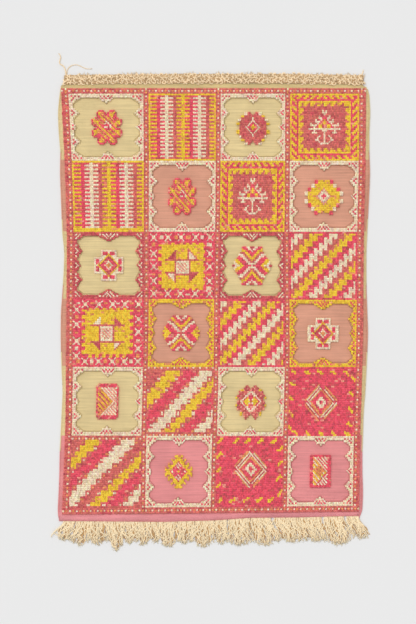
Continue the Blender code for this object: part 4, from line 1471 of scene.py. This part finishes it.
def make_long_fringe(settings):
    """Warp ends at the foot, lying in locks on the floor and crossing one another."""
    noise = np.random.default_rng(SEED + 1)
    rows = [(*STRAY_END, len(LOCK_LAYERS) - 1)]
    for root_from, root_to, tip_from, tip_to, reach in LOCKS:
        taper = max(0.004, 0.5 * (LOCK_SIDES - reach))
        for layer, (spacing, spread, shorter_by, ragged, *_) in enumerate(LOCK_LAYERS):
            count = round((root_to - root_from) / (settings.spacing * spacing))
            for k in range(count):
                share = (k + 0.5) / count
                end = share + noise.normal(0, spread)
                shorter = taper * min(abs(2 * end - 1), 1.6) ** 1.5 + abs(noise.normal(0, 0.003))
                shorter += shorter_by + ragged * noise.random()
                rows.append((root_from + (root_to - root_from) * share, tip_from + (tip_to - tip_from) * end,
                             reach + LOCK_SHORTENING + shorter, layer))
    root, tip, reach, layer = np.array(rows).T
    count, layer = len(rows), layer.astype(int)
    t = np.linspace(0, 1, CORD[1])[None, :]
    start = edge_at(FOOT_EDGE, root)
    swing = wandering(noise, count, CORD[1], 1.0)
    swing *= np.array([row[4] for row in LOCK_LAYERS])[layer][:, None]
    swing[0] = 0
    x = root[:, None] + (tip - root)[:, None] * t * t * (3 - 2 * t) + swing * t * (2 - t)
    y = start[:, None] + (reach - start)[:, None] * t
    radius = settings.radius * (1 + noise.uniform(-0.2, 0.15, (count, 1))) * (1 - 0.45 * t ** 2)
    lifted = 0.5 * np.sin(2 * math.pi * (t * 1.3 + noise.random((count, 1)))) * t
    level = np.clip(layer[:, None] + lifted, 0, 2.4)
    z = radius * 0.95 + LAYER_HEIGHT * level * (0.4 + 0.6 * t * (2 - t))
    paths = np.stack([x, y, z], axis=2)
    # The lowest layer is tinted dark brown: painted shade under the strands above it
    tint = np.array([row[5] for row in LOCK_LAYERS])[layer]
    colours = np.clip(np.array(settings.yarn) * tint * noise.uniform(0.88, 1.04, (count, 1)), 0, 1)
    ends = layer > 0
    ends[0] = False
    # Frayed fibres are painted 1.12 times lighter than their cords: painted light on the thin loose ends
    fringe = repeat_shapes("long_fringe", [
        cords(CORD, paths, radius, colours, FRINGE_FLATNESS),
        frayed(noise, paths[ends], np.clip(colours[ends] * 1.12, 0, 1), *FRINGE_FRAY)])
    wear_material(fringe, plied_yarn("fringe yarn", settings))
    return fringe


def smooth_route(route):
    """Points at equal steps along a short route."""
    route = np.array(route, dtype=float)
    steps = np.concatenate([[0], np.linalg.norm(np.diff(route, axis=0), axis=1).cumsum()])
    at = np.linspace(0, steps[-1], CORD[1])
    return np.stack([smooth_columns(list(zip(steps, route[:, k])), at) for k in range(3)], axis=1)


def along_head(inset, count):
    """Places along the head, with an inset at either end."""
    return np.linspace(HEAD_SPAN[0] + inset, HEAD_SPAN[1] - inset, count)


def head_ropes():
    """Ropes of tied warp along the head, under the curls."""
    ropes = []
    for out in HEAD_ROPES:
        x = along_head(0.002, 90)
        y = edge_at(HEAD_EDGE, x) + out + 0.001 * np.sin(x * 130 + out * 900)
        ropes.append(strung(np.stack([x, y, np.full(x.shape, ROPE_HEIGHT)], axis=1), ROPE_STEP))
    return np.concatenate(ropes)


def head_curls(noise, t):
    """Curls of yarn all over the band, in turn near its edge and further out."""
    count = round((HEAD_SPAN[1] - HEAD_SPAN[0]) / HEAD_KNOT_PITCH * HEAD_CURLS)
    x = along_head(0.004, count) + noise.normal(0, 0.0015, count)
    level = (np.arange(count) * 2 % HEAD_CURLS) / (HEAD_CURLS - 1)
    out = CURLS_FROM + CURLS_ACROSS * level + noise.normal(0, 0.0014, count)
    size = noise.uniform(*CURL_SIZE, (count, 1))
    turn = noise.uniform(0, 2 * math.pi, (count, 1))
    turn = turn + noise.choice([-1, 1], (count, 1)) * noise.uniform(*CURL_TURN, (count, 1)) * t
    sway = noise.normal(0, 0.002, (count, 1)) * t
    middle_y = (edge_at(HEAD_EDGE, x) + out)[:, None]
    return np.stack([x[:, None] + size * np.cos(turn) + sway, middle_y + size * np.sin(turn),
                     CURL_HEIGHT + 0.0016 * np.sin(2 * turn) + 0.001 * noise.random((count, 1))], axis=2)


def head_tufts(noise, t, count):
    """Short ends that stand out beyond the band, longer in some places."""
    x = along_head(0.003, count)
    edge = edge_at(HEAD_EDGE, x)[:, None]
    lean, long = noise.normal(0, 0.006, (count, 1)), noise.uniform(*TUFT_LENGTH, (count, 1))
    long = long + 0.007 * np.clip(np.sin(x * 37 + 2 * np.sin(x * 11)), 0, 1)[:, None]
    return np.stack(np.broadcast_arrays(x[:, None] + lean * t ** 1.5, edge + TUFTS_FROM + long * t,
                                        TUFT_HEIGHT - 0.002 * t), axis=2)


def make_head(settings):
    """Warp ends tied back on themselves along the head, with frayed tufts and loose ends."""
    noise = np.random.default_rng(SEED + 2)
    yarn = np.array(settings.head_yarn)
    t = np.linspace(0, 1, CORD[1])[None, :]
    ropes = head_ropes()
    curls = head_curls(noise, t)
    tufts = head_tufts(noise, t, round(len(curls) * TUFTS_PER_CURL))
    loose = np.stack([smooth_route([(x, y, radius + 0.0005) for x, y in route])
                      for radius, route in HEAD_YARNS])
    loose_radii = np.array([radius for radius, _ in HEAD_YARNS])[:, None]

    def shades(number, low, high):
        return yarn[None, :] * noise.uniform(low, high, (number, 1))

    curl_colours, tuft_colours = shades(len(curls), 0.86, 1.05), shades(len(tufts), 0.92, 1.05)
    # The ropes are painted dark and brown: painted shade in the gaps under the curls
    rope_painted_shade_colours = shades(len(ropes), 0.5, 0.66) * np.array(ROPE_PAINTED_SHADE_TINT)
    head = repeat_shapes("knotted_head", [
        cords(CORD, ropes, ROPE_RADIUS, rope_painted_shade_colours, ROPE_FLATNESS),
        cords(CORD, curls, CURL_RADIUS * (1 - 0.25 * (2 * t - 1) ** 4), curl_colours),
        cords(CORD, tufts, TUFT_RADIUS * (1 - 0.5 * t), tuft_colours),
        frayed(noise, tufts, tuft_colours, *TUFT_FRAY),
        cords(CORD, loose, loose_radii * (1 - 0.3 * t ** 2), shades(len(loose), 0.95, 1.0))])
    wear_material(head, plied_yarn("head yarn", settings))
    return head


def make_stage(settings):
    """Floor, light and camera."""
    bm = bmesh.new()
    bmesh.ops.create_grid(bm, x_segments=1, y_segments=1, size=FLOOR_HALF)
    floor = mesh_of(bm, "floor")
    recipe = Recipe("plain floor")
    dust = recipe.noise(object_place(recipe), 3.0)
    dusty = recipe.shaded((*settings.floor, 1.0), dust * 0.01 + 0.995)
    recipe.feed(recipe.shader.inputs["Base Color"], dusty)
    recipe.shader.inputs["Roughness"].default_value = 0.9
    recipe.shader.inputs["Specular IOR Level"].default_value = 0.1
    wear_material(floor, recipe.material)
    floor.location = (0.0, 0.0, FLOOR_BELOW)
    world = bpy.data.worlds.new("studio")
    world.use_nodes = True
    background = world.node_tree.nodes["Background"]
    background.inputs["Color"].default_value = (1.0, 1.0, 1.0, 1.0)
    background.inputs["Strength"].default_value = settings.sky
    scene = bpy.context.scene
    scene.world = world
    scene.view_settings.view_transform = "Standard"
    sun = bpy.data.lights.new("window light", "SUN")
    sun.energy = settings.key
    sun.angle = settings.softness
    lamp = link(bpy.data.objects.new("window light", sun))
    lamp.rotation_euler = (-Vector(SUN_FROM)).to_track_quat("-Z", "Y").to_euler()
    camera = bpy.data.cameras.new("camera")
    camera.lens = settings.lens
    camera.sensor_width = 36.0
    thing = link(bpy.data.objects.new("camera", camera))
    thing.location = (*CAMERA_OVER, settings.distance)
    scene.camera = thing


class RUG_OT_pile(bpy.types.Operator):
    """Tie the knots of the pile"""
    bl_idname = "rug.pile"
    bl_label = "Knotted pile"

    def execute(self, context):
        for pile in make_pile(context.scene.rug_pile):
            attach(pile, "root")
        return {"FINISHED"}


class RUG_OT_long_fringe(bpy.types.Operator):
    """Lay the long fringe at the foot"""
    bl_idname = "rug.long_fringe"
    bl_label = "Long fringe"

    def execute(self, context):
        fringe = make_long_fringe(context.scene.rug_fringe)
        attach(fringe, "root")
        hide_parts("fringe_foot")
        return {"FINISHED"}


class RUG_OT_head(bpy.types.Operator):
    """Knot the warp ends at the head"""
    bl_idname = "rug.head"
    bl_label = "Knotted head"

    def execute(self, context):
        head = make_head(context.scene.rug_fringe)
        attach(head, "root")
        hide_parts("fringe_head")
        return {"FINISHED"}


class RUG_OT_edging(bpy.types.Operator):
    """Lay the dark contours round the windows, for the slit and painted shadow at the pile's edge, and the
    selvages
    """
    bl_idname = "rug.edging"
    bl_label = "Contours and selvages"

    def execute(self, context):
        edging = make_edging(context.scene.rug_cloth)
        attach(edging, "root")
        return {"FINISHED"}


class RUG_OT_cloth(bpy.types.Operator):
    """Weave the flat ground that carries the pile and the fringes"""
    bl_idname = "rug.cloth"
    bl_label = "Flat weave"

    def execute(self, context):
        cloth = make_cloth(context.scene.rug_cloth)
        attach(cloth, "root")
        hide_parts("rug_body")
        return {"FINISHED"}


class RUG_OT_stage(bpy.types.Operator):
    """Set up the floor, the light and the camera"""
    bl_idname = "rug.stage"
    bl_label = "Stage"

    def execute(self, context):
        make_stage(context.scene.rug_stage)
        return {"FINISHED"}


class RUG_PT_panel(bpy.types.Panel):
    """Steps of the rug, in the order in which they are run"""
    bl_idname = "RUG_PT_panel"
    bl_label = "Berber rug"
    bl_space_type = "VIEW_3D"
    bl_region_type = "UI"
    bl_category = "Rug"

    def draw(self, context):
        for group in GROUPS:
            box = self.layout.box()
            for name in GROUPS[group].__annotations__:
                box.prop(getattr(context.scene, group), name)
        for step in STEPS:
            self.layout.operator(step.bl_idname)


GROUPS = {"rug_pile": PileSettings, "rug_cloth": ClothSettings, "rug_fringe": FringeSettings,
          "rug_stage": StageSettings}
STEPS = (RUG_OT_pile, RUG_OT_long_fringe, RUG_OT_head, RUG_OT_edging, RUG_OT_cloth, RUG_OT_stage)


def register():
    """Register the settings, the steps and the panel."""
    for group in GROUPS:
        bpy.utils.register_class(GROUPS[group])
        setattr(bpy.types.Scene, group, bpy.props.PointerProperty(type=GROUPS[group]))
    for step in STEPS:
        bpy.utils.register_class(step)
    bpy.utils.register_class(RUG_PT_panel)


def unregister():
    """Take away what register added."""
    bpy.utils.unregister_class(RUG_PT_panel)
    for step in reversed(STEPS):
        bpy.utils.unregister_class(step)
    for group in reversed(list(GROUPS)):
        delattr(bpy.types.Scene, group)
        bpy.utils.unregister_class(GROUPS[group])


def main():
    """Build the rug in order."""
    register()
    bpy.ops.rug.pile()
    bpy.ops.rug.long_fringe()
    bpy.ops.rug.head()
    bpy.ops.rug.edging()
    bpy.ops.rug.cloth()
    bpy.ops.rug.stage()


if __name__ == "__main__":
    main()
